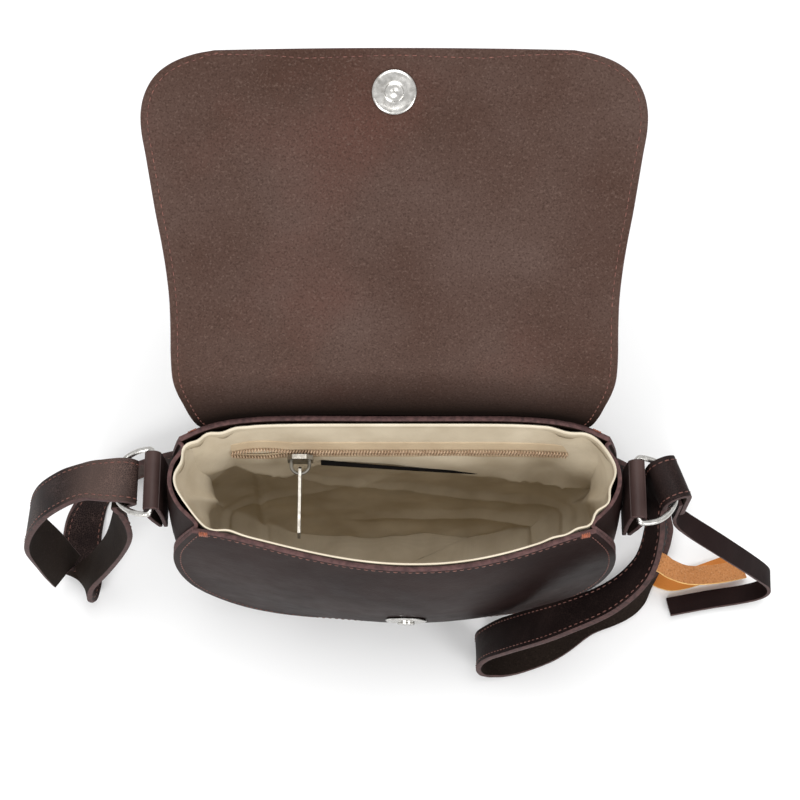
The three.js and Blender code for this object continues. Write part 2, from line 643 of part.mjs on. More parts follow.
function zipPull() {
  const near = SLIDER.bridgeRadius - PULL.eye / 2 - PULL.inner;
  const far = near + PULL.length;
  const [tall, tip] = [PULL.height / 2, PULL.tipHeight / 2];
  const outline = new THREE.Shape();
  outline.moveTo(near, -tall * 0.6);
  outline.lineTo(near + 1.4, -tall);
  outline.lineTo(near + 8, -tall);
  outline.lineTo(near + 12, -tip);
  outline.lineTo(far - 2, -tip);
  outline.lineTo(far, -tip * 0.4);
  outline.lineTo(far, tip * 0.4);
  outline.lineTo(far - 2, tip);
  outline.lineTo(near + 12, tip);
  outline.lineTo(near + 8, tall);
  outline.lineTo(near + 1.4, tall);
  outline.lineTo(near, tall * 0.6);
  outline.closePath();
  outline.holes.push(new THREE.Path().absarc(SLIDER.bridgeRadius, 0, PULL.eye / 2, 0, 2 * Math.PI));
  const options = { depth: PULL.plate, curveSegments: 5, bevelEnabled: false };
  const plate = new THREE.ExtrudeGeometry(outline, options);
  plate.translate(0, 0, -PULL.plate / 2);
  plate.rotateX(Math.PI / 2);
  plate.rotateZ(-Math.PI / 2);
  plate.translate(pullAxis.x, pullAxis.y, pullAxis.z);
  return plate;
}

// A plain black strip that stands out a little from the wall under the zip
function labelEdge() {
  const steps = 8;
  const sections = [];
  for (let step = 0; step <= steps; step += 1) {
    const share = step / steps;
    const x = THREE.MathUtils.lerp(LABEL.left, LABEL.right, share);
    const z = LABEL.z - LABEL.drop * share;
    const near = liningBackY(x, depthOf(z), LINING_INSIDE) - GAP;
    const far = near - THREE.MathUtils.lerp(LABEL.deepEnd, LABEL.thinEnd, share);
    const [low, high] = [z - LABEL.height / 2, z + LABEL.height / 2];
    const corners = [[near, low], [near, high], [far, high], [far, low]];
    sections.push(corners.map(([y, level]) => new THREE.Vector3(x, y, level)));
  }
  return loft(sections, [[0, 1, 2], [0, 2, 3]]);
}

// Tabs and rings, on the right

const barRadius = RING.wire / 2 + GAP;
const tabTopX = gussetX(0, depthOf(TAB.z)) + GAP + TAB.standOff;
const tabFootX = gussetX(0, depthOf(TAB.z - TAB.length)) + 2 * GAP;
const tabSlope = Math.atan2(tabFootX - tabTopX, TAB.length);
const barPlace = new THREE.Vector3(tabTopX + barRadius + TAB_WALL, 0, TAB.z);

// A strip folded over the ring's bar, with its two legs down against the gusset
function tab() {
  const outerRadius = barRadius + TAB_WALL;
  const pinched = -barRadius + GAP;
  const shape = new THREE.Shape();
  shape.moveTo(-outerRadius, TAB.length);
  shape.lineTo(-outerRadius, 0);
  shape.absarc(0, 0, outerRadius, Math.PI, 2 * Math.PI, false);
  shape.lineTo(pinched + TAB_WALL, TAB.length);
  shape.lineTo(pinched, TAB.length);
  shape.lineTo(barRadius, 0);
  shape.absarc(0, 0, barRadius, 0, -Math.PI, true);
  shape.lineTo(-barRadius, TAB.length);
  shape.closePath();
  const options = { depth: TAB.width, curveSegments: 5, bevelEnabled: false };
  const geometry = new THREE.ExtrudeGeometry(shape, options);
  geometry.translate(0, 0, -TAB.width / 2);
  const out = new THREE.Vector3(Math.cos(tabSlope), 0, Math.sin(tabSlope));
  const down = new THREE.Vector3(Math.sin(tabSlope), 0, -Math.cos(tabSlope));
  geometry.applyMatrix4(new THREE.Matrix4().makeBasis(out, down, new THREE.Vector3(0, 1, 0)));
  return geometry.translate(barPlace.x, barPlace.y, barPlace.z);
}

// A D of wire: a straight bar with a slit, and a bow that is part of a circle through both ends of the bar
function ring() {
  const half = RING.bar / 2;
  const middle = (RING.reach ** 2 - half ** 2) / (2 * RING.reach);
  const radius = RING.reach - middle;
  const sweep = Math.atan2(half, -middle) * 0.96;
  const corners = [[0, RING.slit / 2], [0, half * 0.5], [0, half * 0.86]];
  const bow = [];
  for (let step = 0; step <= 12; step += 1) {
    const angle = THREE.MathUtils.lerp(sweep, -sweep, step / 12);
    bow.push([middle + radius * Math.cos(angle), radius * Math.sin(angle)]);
  }
  const back = corners.map(([out, y]) => [out, -y]).reverse();
  const points = [...corners, ...bow, ...back].map(([out, y]) => new THREE.Vector3(out, y, 0));
  const geometry = wire(new THREE.CatmullRomCurve3(points), RING.wire, RING.sides, RING.steps);
  geometry.rotateY(RING_DROP);
  return geometry.translate(barPlace.x, barPlace.y, barPlace.z);
}

// Materials and the whole bag

const leather = (color, roughness) => new THREE.MeshStandardMaterial({ color, roughness, metalness: 0 });
const cloth = (color) => new THREE.MeshStandardMaterial({ color, roughness: 0.95, metalness: 0 });
const metal = () => new THREE.MeshStandardMaterial({ color: 0xc9c9cc, roughness: 0.22, metalness: 1 });
const DARK_BROWN = 0x3a2a28;
const NEAR_BLACK = 0x2a2022;
const COTTON = 0xd5c9ae;
const TAPE = 0xb7a083;
const TAN = 0xc9853a;

const bag = new THREE.Group();

function add(name, geometry, material) {
  const mesh = new THREE.Mesh(geometry, material);
  mesh.name = name;
  bag.add(mesh);
  return mesh;
}

add("front_panel", sheet(frontSurface, FRONT_COLUMNS, PANEL_ROWS, PANEL_WALL), leather(NEAR_BLACK, 0.45));
add("back_panel", sheet(backSurface, BACK_COLUMNS, PANEL_ROWS, PANEL_WALL), leather(NEAR_BLACK, 0.45));
add("gusset", gusset(), leather(NEAR_BLACK, 0.5));
add("lining", lining(), cloth(COTTON));
add("flap", flap(), leather(DARK_BROWN, 0.8));

const snapDepth = depthOf(SNAP_Z);
const snapU = (1 - SNAP_X / halfWidthAt(-1, snapDepth)) / 2;
const stud = add("snap_stud", turned(STUD_PROFILE), metal());
seat(stud, frontSurface(snapU, snapDepth), facing(frontSurface, snapU, snapDepth));
const socketV = positionOf(FLAP, "along", SOCKET_ALONG);
const socket = add("snap_socket", turned(SOCKET_PROFILE), metal());
seat(socket, flapSurface(0.5, socketV), facing(flapSurface, 0.5, socketV));

add("zip_half_upper", zipHalf(1), cloth(TAPE));
add("zip_half_lower", zipHalf(-1), cloth(TAPE));
add("zip_slider", zipSlider(), metal());
add("zip_pull", zipPull(), metal());
add("label_edge", labelEdge(), cloth(0x15120f));

for (const [side, mirror] of [["right", 1], ["left", -1]]) {
  const pair = [add(`tab_${side}`, tab(), leather(DARK_BROWN, 0.55)), add(`ring_${side}`, ring(), metal())];
  for (const mesh of pair) {
    mesh.scale.x = mirror;
    mesh.position.y = RING_Y[side];
  }
}

add("strap", band(STRAP, STRAP_WIDTH, STRAP_WALL, 3), leather(DARK_BROWN, 0.5));
add("lace", band(LACE, LACE_WIDTH, LACE_WALL, 3), leather(NEAR_BLACK, 0.5));
add("keeper", band(KEEPER, KEEPER_WIDTH, KEEPER_WALL, 3), leather(TAN, 0.7));

export default bag;
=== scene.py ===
"""A leather crossbody bag, open on a pale floor: leather, cloth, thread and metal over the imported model."""

import math

import bpy
import numpy as np
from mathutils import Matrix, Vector, noise


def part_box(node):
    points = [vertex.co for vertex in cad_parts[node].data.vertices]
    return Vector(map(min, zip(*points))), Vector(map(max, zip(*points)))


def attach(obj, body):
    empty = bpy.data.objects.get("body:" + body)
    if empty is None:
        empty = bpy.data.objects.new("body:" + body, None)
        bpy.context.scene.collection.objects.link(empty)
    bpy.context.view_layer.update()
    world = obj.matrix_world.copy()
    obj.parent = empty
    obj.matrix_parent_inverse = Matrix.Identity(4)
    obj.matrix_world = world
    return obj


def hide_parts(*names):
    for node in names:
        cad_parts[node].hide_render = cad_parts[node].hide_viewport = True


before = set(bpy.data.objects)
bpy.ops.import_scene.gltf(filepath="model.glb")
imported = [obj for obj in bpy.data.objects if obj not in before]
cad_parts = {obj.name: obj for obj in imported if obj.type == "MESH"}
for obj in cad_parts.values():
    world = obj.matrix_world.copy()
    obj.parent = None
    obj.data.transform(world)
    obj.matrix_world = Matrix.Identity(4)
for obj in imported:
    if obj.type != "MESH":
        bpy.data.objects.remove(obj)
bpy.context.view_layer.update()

MM = 0.001
FLOOR_GAP = 0.2 * MM

# Camera, aimed as the bag is seen from above and in front, with its lens and sensor in millimetres
CAMERA_TARGET = Vector((0.0027, 0.0443, 0.170))
CAMERA_ELEVATION = math.radians(70)
CAMERA_DISTANCE = 1.0
CAMERA_LENS = 90
CAMERA_SENSOR = 36

# Lights: name, place, size and watts
LIGHTS = (
    ("key", (-0.7, -1.5, 1.25), 0.6, 17),
    ("fill", (1.1, -1.4, 1.1), 0.8, 12),
    ("top", (0.05, 0.25, 1.75), 1.1, 15),
)
LIGHT_TARGET = (0, 0, 0.1)
WORLD_STRENGTH = 0.8
STAGE_REACH = 3.0

# Reading solids: how near doubles lie, how far the first rows stray from the ends that they start at,
# and the most neighbours that a point at the end of a band has
WELD = 0.002 * MM
RIM_FALL = 4 * MM
GUSSET_FALL = 3 * MM
FLAP_RISE = 1.5 * MM
SECTION_REACH = 0.05 * MM
END_NEIGHBOURS = 5

# Smooth noise is moved by this much along each axis for each seed
SEED_STEPS = (1, 1.7, 0.6)

# Snaps, and directions that no wire and no snap runs along, to measure their turns from
SNAP_SIDES = 48
WIRE_ASIDE = (0.3, 0.5, 0.81)
SNAP_ASIDE = (0.2, 0.9, 0.4)

# Stitches, with girths and rises in radii of the thread from one end of a stitch to the other
STITCH_PITCH = 3.6 * MM
STITCH_LENGTH = 2.7 * MM
STITCH_RADIUS = 0.31 * MM
STITCH_SIDES = 6
STITCH_GIRTHS = (0.45, 0.95, 1.0, 0.95, 0.45)
STITCH_RISES = (-0.9, 0.05, 0.3, 0.05, -0.9)

# Where stitches run: in from an edge, and on the strap at a share of its half width
SEAM_INSET = 3.4 * MM
RIM_INSET = 1.4 * MM
FLAP_INSET = 3.0 * MM
FLAP_ROW_GAP = 4 * MM
STRAP_STITCH = 0.78
LEAST_SLANT = 0.35  # of a grid's lines to its edge, as a sine

# Bar tacks: grid columns in from the panel's corner, and the pitch, length and radius of their stitches
TACK_COLUMN = 5
TACK_COUNT = 5
TACK_SPACING = 0.9 * MM
TACK_HALF = 2.6 * MM
TACK_STITCH = (5.1 * MM, 5.0 * MM, 0.5 * MM)

# A sheet's cut edge: how far it rounds out and where the rounding begins, as shares of the wall
EDGE_ROUNDING = 0.16
EDGE_SHARE = 0.28

# Panels: the way each faces along Y, steps between rows and columns, and its ripple's size, depth and seed
PANELS = {
    "front": (-1, (9, 8), (60 * MM, 0.6 * MM, 3)),
    "back": (1, (9, 9), (70 * MM, 0.5 * MM, 5)),
}
FLAP_STEPS = (7, 12)
FLAP_RIPPLE = (75 * MM, 0.9 * MM, 11)

# Gusset: the height that it wraps round, and the lips that its edges turn out to, full from a height up
GUSSET_STEPS = (5, 6)
GUSSET_MIDDLE = 90 * MM
LIP_REACH = 2.3 * MM
LIP_FULL = 45 * MM
LIP_POWER = 0.7
LIP_BEND = 1.2 * MM

# Bands: the way across each at its first end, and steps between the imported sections
BAND_ACROSS = (-0.34, 0.94, 0)
BAND_STEPS = 3
LACE_STEPS = 4

# Tabs: the outer leg's place half way down as a share of the fold, and at the foot in walls
TAB_WALL = 2.2 * MM
TAB_FOOT = 0.5 * MM
TAB_FOLD_STEPS = 8
TAB_WAIST = 0.8
TAB_FOOT_GAP = 1.2

# Rings: round wire, bent from one side of a slit in the bar to the other
RING_SIDES = 20
RING_RADIUS = 1.5 * MM
RING_STEPS = 4
RING_BAR_REACH = 4 * MM
RING_SLIT_REACH = 0.2 * MM

# Zip: each tape's face and wall, and the coil's wire, its turns and its place before the tape
TAPE_STEPS = 8
TAPE_EDGE = 0.4 * MM
TAPE_TILT = 0.5 * MM
TAPE_HALF_WALL = 0.35 * MM
COIL_PITCH = 1.5 * MM
COIL_STEPS = 10
COIL_SIDES = 5
COIL_WIRE = 0.34 * MM
COIL_FORWARD = 1.0 * MM
COIL_HALF_DEPTH = 0.75 * MM
COIL_MIDDLE = 1.35 * MM
COIL_HALF_WIDTH = 1.15 * MM
ZIP_METAL_BEVEL = 0.25 * MM

# The label's middle and half length, where the cloth lies flat behind it
LABEL_STEPS = 6
LABEL_MIDDLE = 6.5 * MM
LABEL_REACH = 46 * MM
LABEL_FADE = 12 * MM

# The lining: its wall, steps round and down it, and how it is pulled out and up to the rim
CLOTH_WALL = 0.5 * MM
LINING_STEPS = 7
LINING_ROW_STEPS = 12
RIM_PULL = 14 * MM
RIM_OUTWARD = 0.8 * MM
RIM_SIDE_OUTWARD = 1.5 * MM
RIM_LIFT = 1.6 * MM

# The hem's rows from its lower edge up over the fold: drop below the rim, and distance in from the wall
HEM_DEPTH = 8 * MM
HEM_ROWS = (
    (HEM_DEPTH, 0.6 * MM),
    (HEM_DEPTH * 0.5, 0.65 * MM),
    (1.6 * MM, 0.65 * MM),
    (0.1 * MM, 0.5 * MM),
    (-0.25 * MM, 0.25 * MM),
)
# Faces over the hem's fold take a paler copy of the cloth: a painted highlight along the rim
FOLD_ROWS = (2, 3, 4)

# The lining's floor: shares of the way out from its middle, and how high and broad it rumples
FLOOR_SHARES = np.array([0.94, 0.87, 0.79, 0.7, 0.6, 0.5, 0.4, 0.3, 0.2, 0.1])
FLOOR_RUMPLE = 1.5 * MM
RUMPLE_SIZE = 22 * MM

# The lining's back wall ends at a half width and its sides begin at another, with soft changes between.
# Behind it there is a little room to go back, and elsewhere it keeps clear of the wall.
BACK_HALF = 108 * MM
BACK_FADE = 18 * MM
SIDE_HALF = 82 * MM
SIDE_FADE = 20 * MM
BACK_ROOM = 0.4 * MM
WALL_CLEARANCE = 0.2 * MM

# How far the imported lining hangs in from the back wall, by height, and the share that it can go back
SAG_HEIGHTS = np.array([0, 22, 45, 75, 110, 143, 170]) * MM
SAGS = np.array([0, 1, 3, 6, 8, 4, 0]) * MM
SAG_SHARE = 0.8

# The lower edge of the zip's pocket, which hangs loose before the back wall: place across and height
POCKET_PLACES = np.array([-98, -89, -75, -58, -39, 3, 34, 54, 85, 105]) * MM
POCKET_HEIGHTS = np.array([140, 131, 120, 115, 127, 121, 115, 111, 106, 104]) * MM
POCKET_BULGE = 3 * MM
POCKET_SLACK = 0.3 * MM
POCKET_ROLL = 16 * MM
POCKET_FADE = 7 * MM
ZIP_FOOT = 127 * MM
ZIP_FADE = 8 * MM

# A crease across the back wall, below the pocket's edge
CREASE_PLACES = np.array([-56, -38, -24, 34, 60, 90]) * MM
CREASE_HEIGHTS = np.array([104, 88, 86, 66, 56, 52]) * MM

# The bulge of the lining's left and right sides, and the depth and half width of their fold
SIDE_BULGES = (14 * MM, 7 * MM)
SIDE_BULGE_HEIGHT = 126 * MM
SIDE_BULGE_WIDTH = 26 * MM
SIDE_FOLD_DEPTH = 5 * MM
SIDE_FOLD_WIDTH = 10 * MM

# Crumples over the lining's walls, coarse and fine: size, seed and share
CRUMPLES = ((30 * MM, 2, 1.0), (12 * MM, 9, 0.5))
CRUMPLE_DEPTH = 2.2 * MM
CRUMPLE_RISE = 0.3
CRUMPLE_START = 24 * MM
CRUMPLE_FADE = 30 * MM

# Ruffles along the rim, from a half width outwards
RUFFLE_DEPTH = 1.1 * MM
RUFFLE_HEIGHT = 16 * MM
RUFFLE_HALF = 70 * MM
RUFFLE_FADE = 25 * MM
RUFFLE_PITCH_X = 2.7 * MM
RUFFLE_PITCH_Y = 3.6 * MM

# Where the strap has a painted sheen on its fold at the left, and where its leather is cracked: places along
# X
SHEEN_RIGHT = (-126 * MM, -140 * MM)
SHEEN_LEFT = (-168 * MM, -152 * MM)
CRACKED_SIDE = (0.0, -120 * MM)


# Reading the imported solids

def welded(name):
    """A solid's points with doubles joined, and each point's neighbours."""
    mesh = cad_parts[name].data
    raw = np.array([vertex.co for vertex in mesh.vertices])
    keys = np.round(raw / WELD).astype(np.int64)
    _, first, index = np.unique(keys, axis=0, return_index=True, return_inverse=True)
    index = index.reshape(-1)
    near = [set() for _ in first]
    for polygon in mesh.polygons:
        corners = [int(index[vertex]) for vertex in polygon.vertices]
        for corner in corners:
            near[corner].update(corners)
    for point, others in enumerate(near):
        others.discard(point)
    return raw[first], near


def rows_from(near, start):
    """The points in rows: each row holds the neighbours of the one before that are in no earlier row."""
    rows = [set(start)]
    seen = set(start)
    while True:
        ahead = {other for point in rows[-1] for other in near[point]} - seen
        if not ahead:
            return [sorted(row) for row in rows]
        rows.append(ahead)
        seen |= ahead


def sheet_grid(name, starts, order, outward):
    """The face of a sheet as a grid of points, and its wall. starts picks the points of the first row,
    order is the axis that a row runs along, and outward grows from the back layer to the face."""
    points, near = welded(name)
    rows = rows_from(near, np.flatnonzero(starts(points)).tolist())
    face, back = [], []
    for row in rows:
        ordered = points[sorted(row, key=lambda point: points[point][order])]
        pairs = ordered.reshape(-1, 2, 3)
        first_is_face = outward(pairs[:, 0]) > outward(pairs[:, 1])
        face.append(np.where(first_is_face[:, None], pairs[:, 0], pairs[:, 1]))
        back.append(np.where(first_is_face[:, None], pairs[:, 1], pairs[:, 0]))
    face, back = np.array(face), np.array(back)
    through = face - back
    if (grid_normals(face) * through).sum() < 0:
        face = face[:, ::-1]
    return face, float(np.linalg.norm(through, axis=2).mean())


def band_sections(name, first, across):
    """A band's sections from the end that lies furthest along first: its middles, and half its width and
    thickness as vectors. across is the way across it at that end."""
    points, near = welded(name)
    ends = [point for point, others in enumerate(near) if len(others) <= END_NEIGHBOURS]
    lead = max(ends, key=lambda point: points[point] @ np.array(first))
    beside = near[lead] & set(ends)
    start = {lead} | beside | set().union(*(near[point] & set(ends) for point in beside))
    rows = rows_from(near, start)
    middles = np.array([points[row].mean(axis=0) for row in rows])
    ahead = np.gradient(middles, axis=0)
    hint = np.array(across, float)
    wide, thick = [], []
    for row, middle, forward in zip(rows, middles, ahead):
        corners = points[row]
        side = (corners - middle) @ hint > 0
        half = (corners[side].mean(axis=0) - corners[~side].mean(axis=0)) / 2
        up = np.cross(half, forward)
        pair = corners[side]
        rise = (pair[0] - pair[1]) / 2
        wide.append(half)
        thick.append(rise if rise @ up > 0 else -rise)
        hint = half
    return middles, np.array(wide), np.array(thick)


def cross_sections(name, axis):
    """A solid's rows of points from its lowest end along one axis."""
    points, near = welded(name)
    start = np.flatnonzero(points[:, axis] < points[:, axis].min() + SECTION_REACH).tolist()
    return [points[row] for row in rows_from(near, start)]


# Curves and surfaces

def cubic(a, b, c, d, t):
    """A smooth curve from b to c, with a before and d after them."""
    return b + 0.5 * t * ((c - a) + t * ((2 * a - 5 * b + 4 * c - d) + t * (3 * b - a - 3 * c + d)))


def curve_at(points, places):
    """The smooth curve through points at each place, counted in points from the first."""
    before = 2 * points[:1] - points[1:2]
    after = 2 * points[-1:] - points[-2:-1]
    padded = np.concatenate([before, points, after])
    places = np.asarray(places, float)
    index = np.clip(places.astype(int), 0, len(points) - 2)
    t = (places - index).reshape((-1,) + (1,) * (points.ndim - 1))
    return cubic(padded[index], padded[index + 1], padded[index + 2], padded[index + 3], t)


def refined(points, steps):
    """The curve through points, cut into steps between each two."""
    return curve_at(points, np.linspace(0, len(points) - 1, (len(points) - 1) * steps + 1))


def refined_grid(grid, row_steps, column_steps):
    return refined(refined(grid, row_steps).swapaxes(0, 1), column_steps).swapaxes(0, 1)


def unit(vectors):
    return vectors / np.maximum(np.linalg.norm(vectors, axis=-1, keepdims=True), 1e-12)


def grid_normals(grid):
    return unit(np.cross(np.gradient(grid, axis=1), np.gradient(grid, axis=0)))


def lengths(path):
    """Distance along a path to each of its points."""
    steps = np.linalg.norm(np.diff(path, axis=0), axis=1)
    return np.concatenate([[0], np.cumsum(steps)])


def along(path, values, places):
    """Values on a path, read at distances along it."""
    measure = lengths(path)
    return np.stack([np.interp(places, measure, column) for column in values.T], axis=1)


def inset_line(grid, normals, distance):
    """The line at a distance in from the first column of a grid, with the surface's normals on it."""
    edge_run = unit(np.gradient(grid[:, 0], axis=0))
    inward = unit(grid[:, 1] - grid[:, 0])
    slant = np.clip(np.linalg.norm(np.cross(inward, edge_run), axis=1), LEAST_SLANT, 1)
    places, faces = [], []
    for line, facing, share in zip(grid, normals, slant):
        reach = [min(distance / share, lengths(line)[-1])]
        places.append(along(line, line, reach)[0])
        faces.append(along(line, facing, reach)[0])
    return np.array(places), unit(np.array(faces))


def wave(point, size, seed):
    """Smooth noise of about -1 to 1 over features of one size."""
    return noise.noise(Vector(point) / size + Vector([seed * step for step in SEED_STEPS]))


def rippled(grid, size, depth, seed):
    """A grid moved along its normals by smooth noise."""
    flat = grid.reshape(-1, 3)
    rise = np.array([wave(point, size, seed) for point in flat]).reshape(grid.shape[:2])
    return grid + grid_normals(grid) * (rise * depth)[:, :, None]


def ramp(values, length):
    """Rises from 0 at nothing to 1 at a length, and is held beyond both."""
    return np.clip(values / length, 0, 1)


def crease(distance, width):
    """A sharp ridge of height 1 that falls away on both sides."""
    return (1 - ramp(np.abs(distance), width)) ** 1.5


def bump_at(values, middle, width):
    """A smooth hump of height 1 about a middle."""
    return np.exp(-(((values - middle) / width) ** 2))


# Making pieces

def piece(name, points, faces, materials, node=None, marks=None, sharp=40):
    """A mesh object that rides on the bag and the node that it stands in for."""
    mesh = bpy.data.meshes.new(name)
    points = np.array(points)
    points[:, 2] = np.maximum(points[:, 2], FLOOR_GAP)
    mesh.from_pydata(points.tolist(), [], faces)
    for material in materials:
        mesh.materials.append(material)
    if marks is not None:
        mesh.polygons.foreach_set("material_index", marks)
    mesh.polygons.foreach_set("use_smooth", [True] * len(mesh.polygons))
    mesh.set_sharp_from_angle(angle=math.radians(sharp))
    mesh.update()
    made = bpy.data.objects.new(name, mesh)
    bpy.context.scene.collection.objects.link(made)
    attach(made, "bag")
    if node:
        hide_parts(node)
    return made


def strip_faces(rows, columns, start=0, closed=False):
    """Quads over a grid of points stored row by row, joined round if closed."""
    faces = []
    for row in range(rows - 1):
        for column in range(columns if closed else columns - 1):
            a = start + row * columns + column
            b = start + row * columns + (column + 1) % columns
            faces.append((a, b, b + columns, a + columns))
    return faces


def capped_faces(rows, sides, start=0):
    """Faces over rings of points stored one after another, with a flat face at both ends."""
    end = start + (rows - 1) * sides
    faces = strip_faces(rows, sides, start, closed=True)
    faces.append(tuple(range(start + sides - 1, start - 1, -1)))
    faces.append(tuple(range(end, end + sides)))
    return faces


def circle(place, side, up, radius, sides):
    """Points round a place, from one direction towards another."""
    angles = [2 * math.pi * index / sides for index in range(sides)]
    return [place + (side * math.cos(angle) + up * math.sin(angle)) * radius for angle in angles]


def leather_sheet(name, grid, wall, materials, node):
    """A closed sheet under a grid of its face, with its back one wall behind and a slightly round cut edge.
    The materials are the face's, the back's and the cut edge's."""
    rows, columns = grid.shape[:2]
    normals = grid_normals(grid)
    face = grid.reshape(-1, 3)
    back = (grid - normals * wall).reshape(-1, 3)
    count = len(face)
    index = np.arange(count).reshape(rows, columns)
    edge = np.concatenate([index[0], index[1:, -1], index[-1, -2::-1], index[-2:0:-1, 0]]).tolist()
    run = np.roll(face[edge], -1, axis=0) - np.roll(face[edge], 1, axis=0)
    outward = unit(np.cross(run, normals.reshape(-1, 3)[edge]))
    rounding = outward * EDGE_ROUNDING * wall
    upper = face[edge] * (1 - EDGE_SHARE) + back[edge] * EDGE_SHARE + rounding
    lower = face[edge] * EDGE_SHARE + back[edge] * (1 - EDGE_SHARE) + rounding
    points = np.concatenate([face, back, upper, lower])
    faces = strip_faces(rows, columns)
    faces += [tuple(corner + count for corner in quad[::-1]) for quad in strip_faces(rows, columns)]
    marks = [0] * (len(faces) // 2) + [1] * (len(faces) // 2)
    total = len(edge)
    first_upper, first_lower = 2 * count, 2 * count + total
    for here in range(total):
        ahead = (here + 1) % total
        faces.append((edge[here], first_upper + here, first_upper + ahead, edge[ahead]))
        faces.append((first_upper + here, first_lower + here, first_lower + ahead, first_upper + ahead))
        faces.append((first_lower + here, count + edge[here], count + edge[ahead], first_lower + ahead))
        marks += [2, 2, 2]
    piece(name, points, faces, materials, node, marks)


# A band's section: place across, height, and the material to the next point (0 face, 1 back, 2 cut edge)
BAND_SECTION = [
    (-0.975, 1.0, 0), (-0.8, 1.0, 0), (-0.4, 1.04, 0), (0.0, 1.05, 0), (0.4, 1.04, 0), (0.8, 1.0, 0),
    (0.975, 1.0, 2), (1.0, 0.6, 2), (1.0, -0.6, 2),
    (0.975, -1.0, 1), (0.4, -1.0, 1), (0.0, -1.0, 1), (-0.4, -1.0, 1),
    (-0.975, -1.0, 2), (-1.0, -0.6, 2), (-1.0, 0.6, 2),
]


def band_piece(name, sections, materials, node, steps):
    """A closed band through sections, with rounded cut edges."""
    middles, wide, thick = (refined(part, steps) for part in sections)
    rings = [middles + across * wide + height * thick for across, height, _ in BAND_SECTION]
    points = np.stack(rings, axis=1)
    rows, columns = points.shape[:2]
    faces = [quad[::-1] for quad in strip_faces(rows, columns, closed=True)]
    marks = [BAND_SECTION[index % columns][2] for index in range(len(faces))]
    faces.append(tuple(range(columns)))
    faces.append(tuple(range(rows * columns - 1, (rows - 1) * columns - 1, -1)))
    marks += [2, 2]
    piece(name, points.reshape(-1, 3), faces, materials, node, marks)


def stitches(name, lines, slot, material, pitch=STITCH_PITCH, length=STITCH_LENGTH, radius=STITCH_RADIUS):
    """Thread along lines on a surface, one short arched stitch after another. A line is (path, normals)."""
    rings = len(STITCH_GIRTHS)
    shares = np.linspace(-0.5, 0.5, rings)
    points, faces = [], []
    for path, normals in lines:
        places = np.arange(pitch / 2, lengths(path)[-1], pitch)
        if len(places) == 0:
            continue
        middle = along(path, path, places)
        ahead = unit(along(path, path, places + pitch / 4) - along(path, path, places - pitch / 4))
        up = unit(along(path, normals, places))
        side = unit(np.cross(ahead, up))
        for centre, forward, above, beside in zip(middle, ahead, up, side):
            faces += capped_faces(rings, STITCH_SIDES, len(points))
            for share, rise, girth in zip(shares, STITCH_RISES, STITCH_GIRTHS):
                core = centre + forward * share * length + above * rise * radius
                points += circle(core, beside, above, girth * radius, STITCH_SIDES)
    piece(name, points, faces, [material], sharp=80)


def tube(path, radius, sides):
    """Points and faces of a round wire along a path, with flat ends."""
    ahead = unit(np.gradient(path, axis=0))
    side = np.cross(ahead[0], WIRE_ASIDE)
    points = []
    for place, forward in zip(path, ahead):
        side = unit(side - forward * (side @ forward))
        points += circle(place, side, np.cross(forward, side), radius, sides)
    return points, capped_faces(len(path), sides)


def turned(profile, place, axis, sides):
    """Points and faces of a profile of (radius, height) turned round an axis through a place."""
    axis = unit(np.array(axis))
    side = unit(np.cross(axis, SNAP_ASIDE))
    points = []
    for radius, height in profile:
        points += circle(place + axis * height, side, np.cross(axis, side), radius, sides)
    return points, capped_faces(len(profile), sides)


# Materials

def srgb(red, green, blue):
    """A colour of 0 to 255 as the shader's linear values."""
    shares = [value / 255 for value in (red, green, blue)]
    linear = [share / 12.92 if share <= 0.04045 else ((share + 0.055) / 1.055) ** 2.4 for share in shares]
    return (*linear, 1)


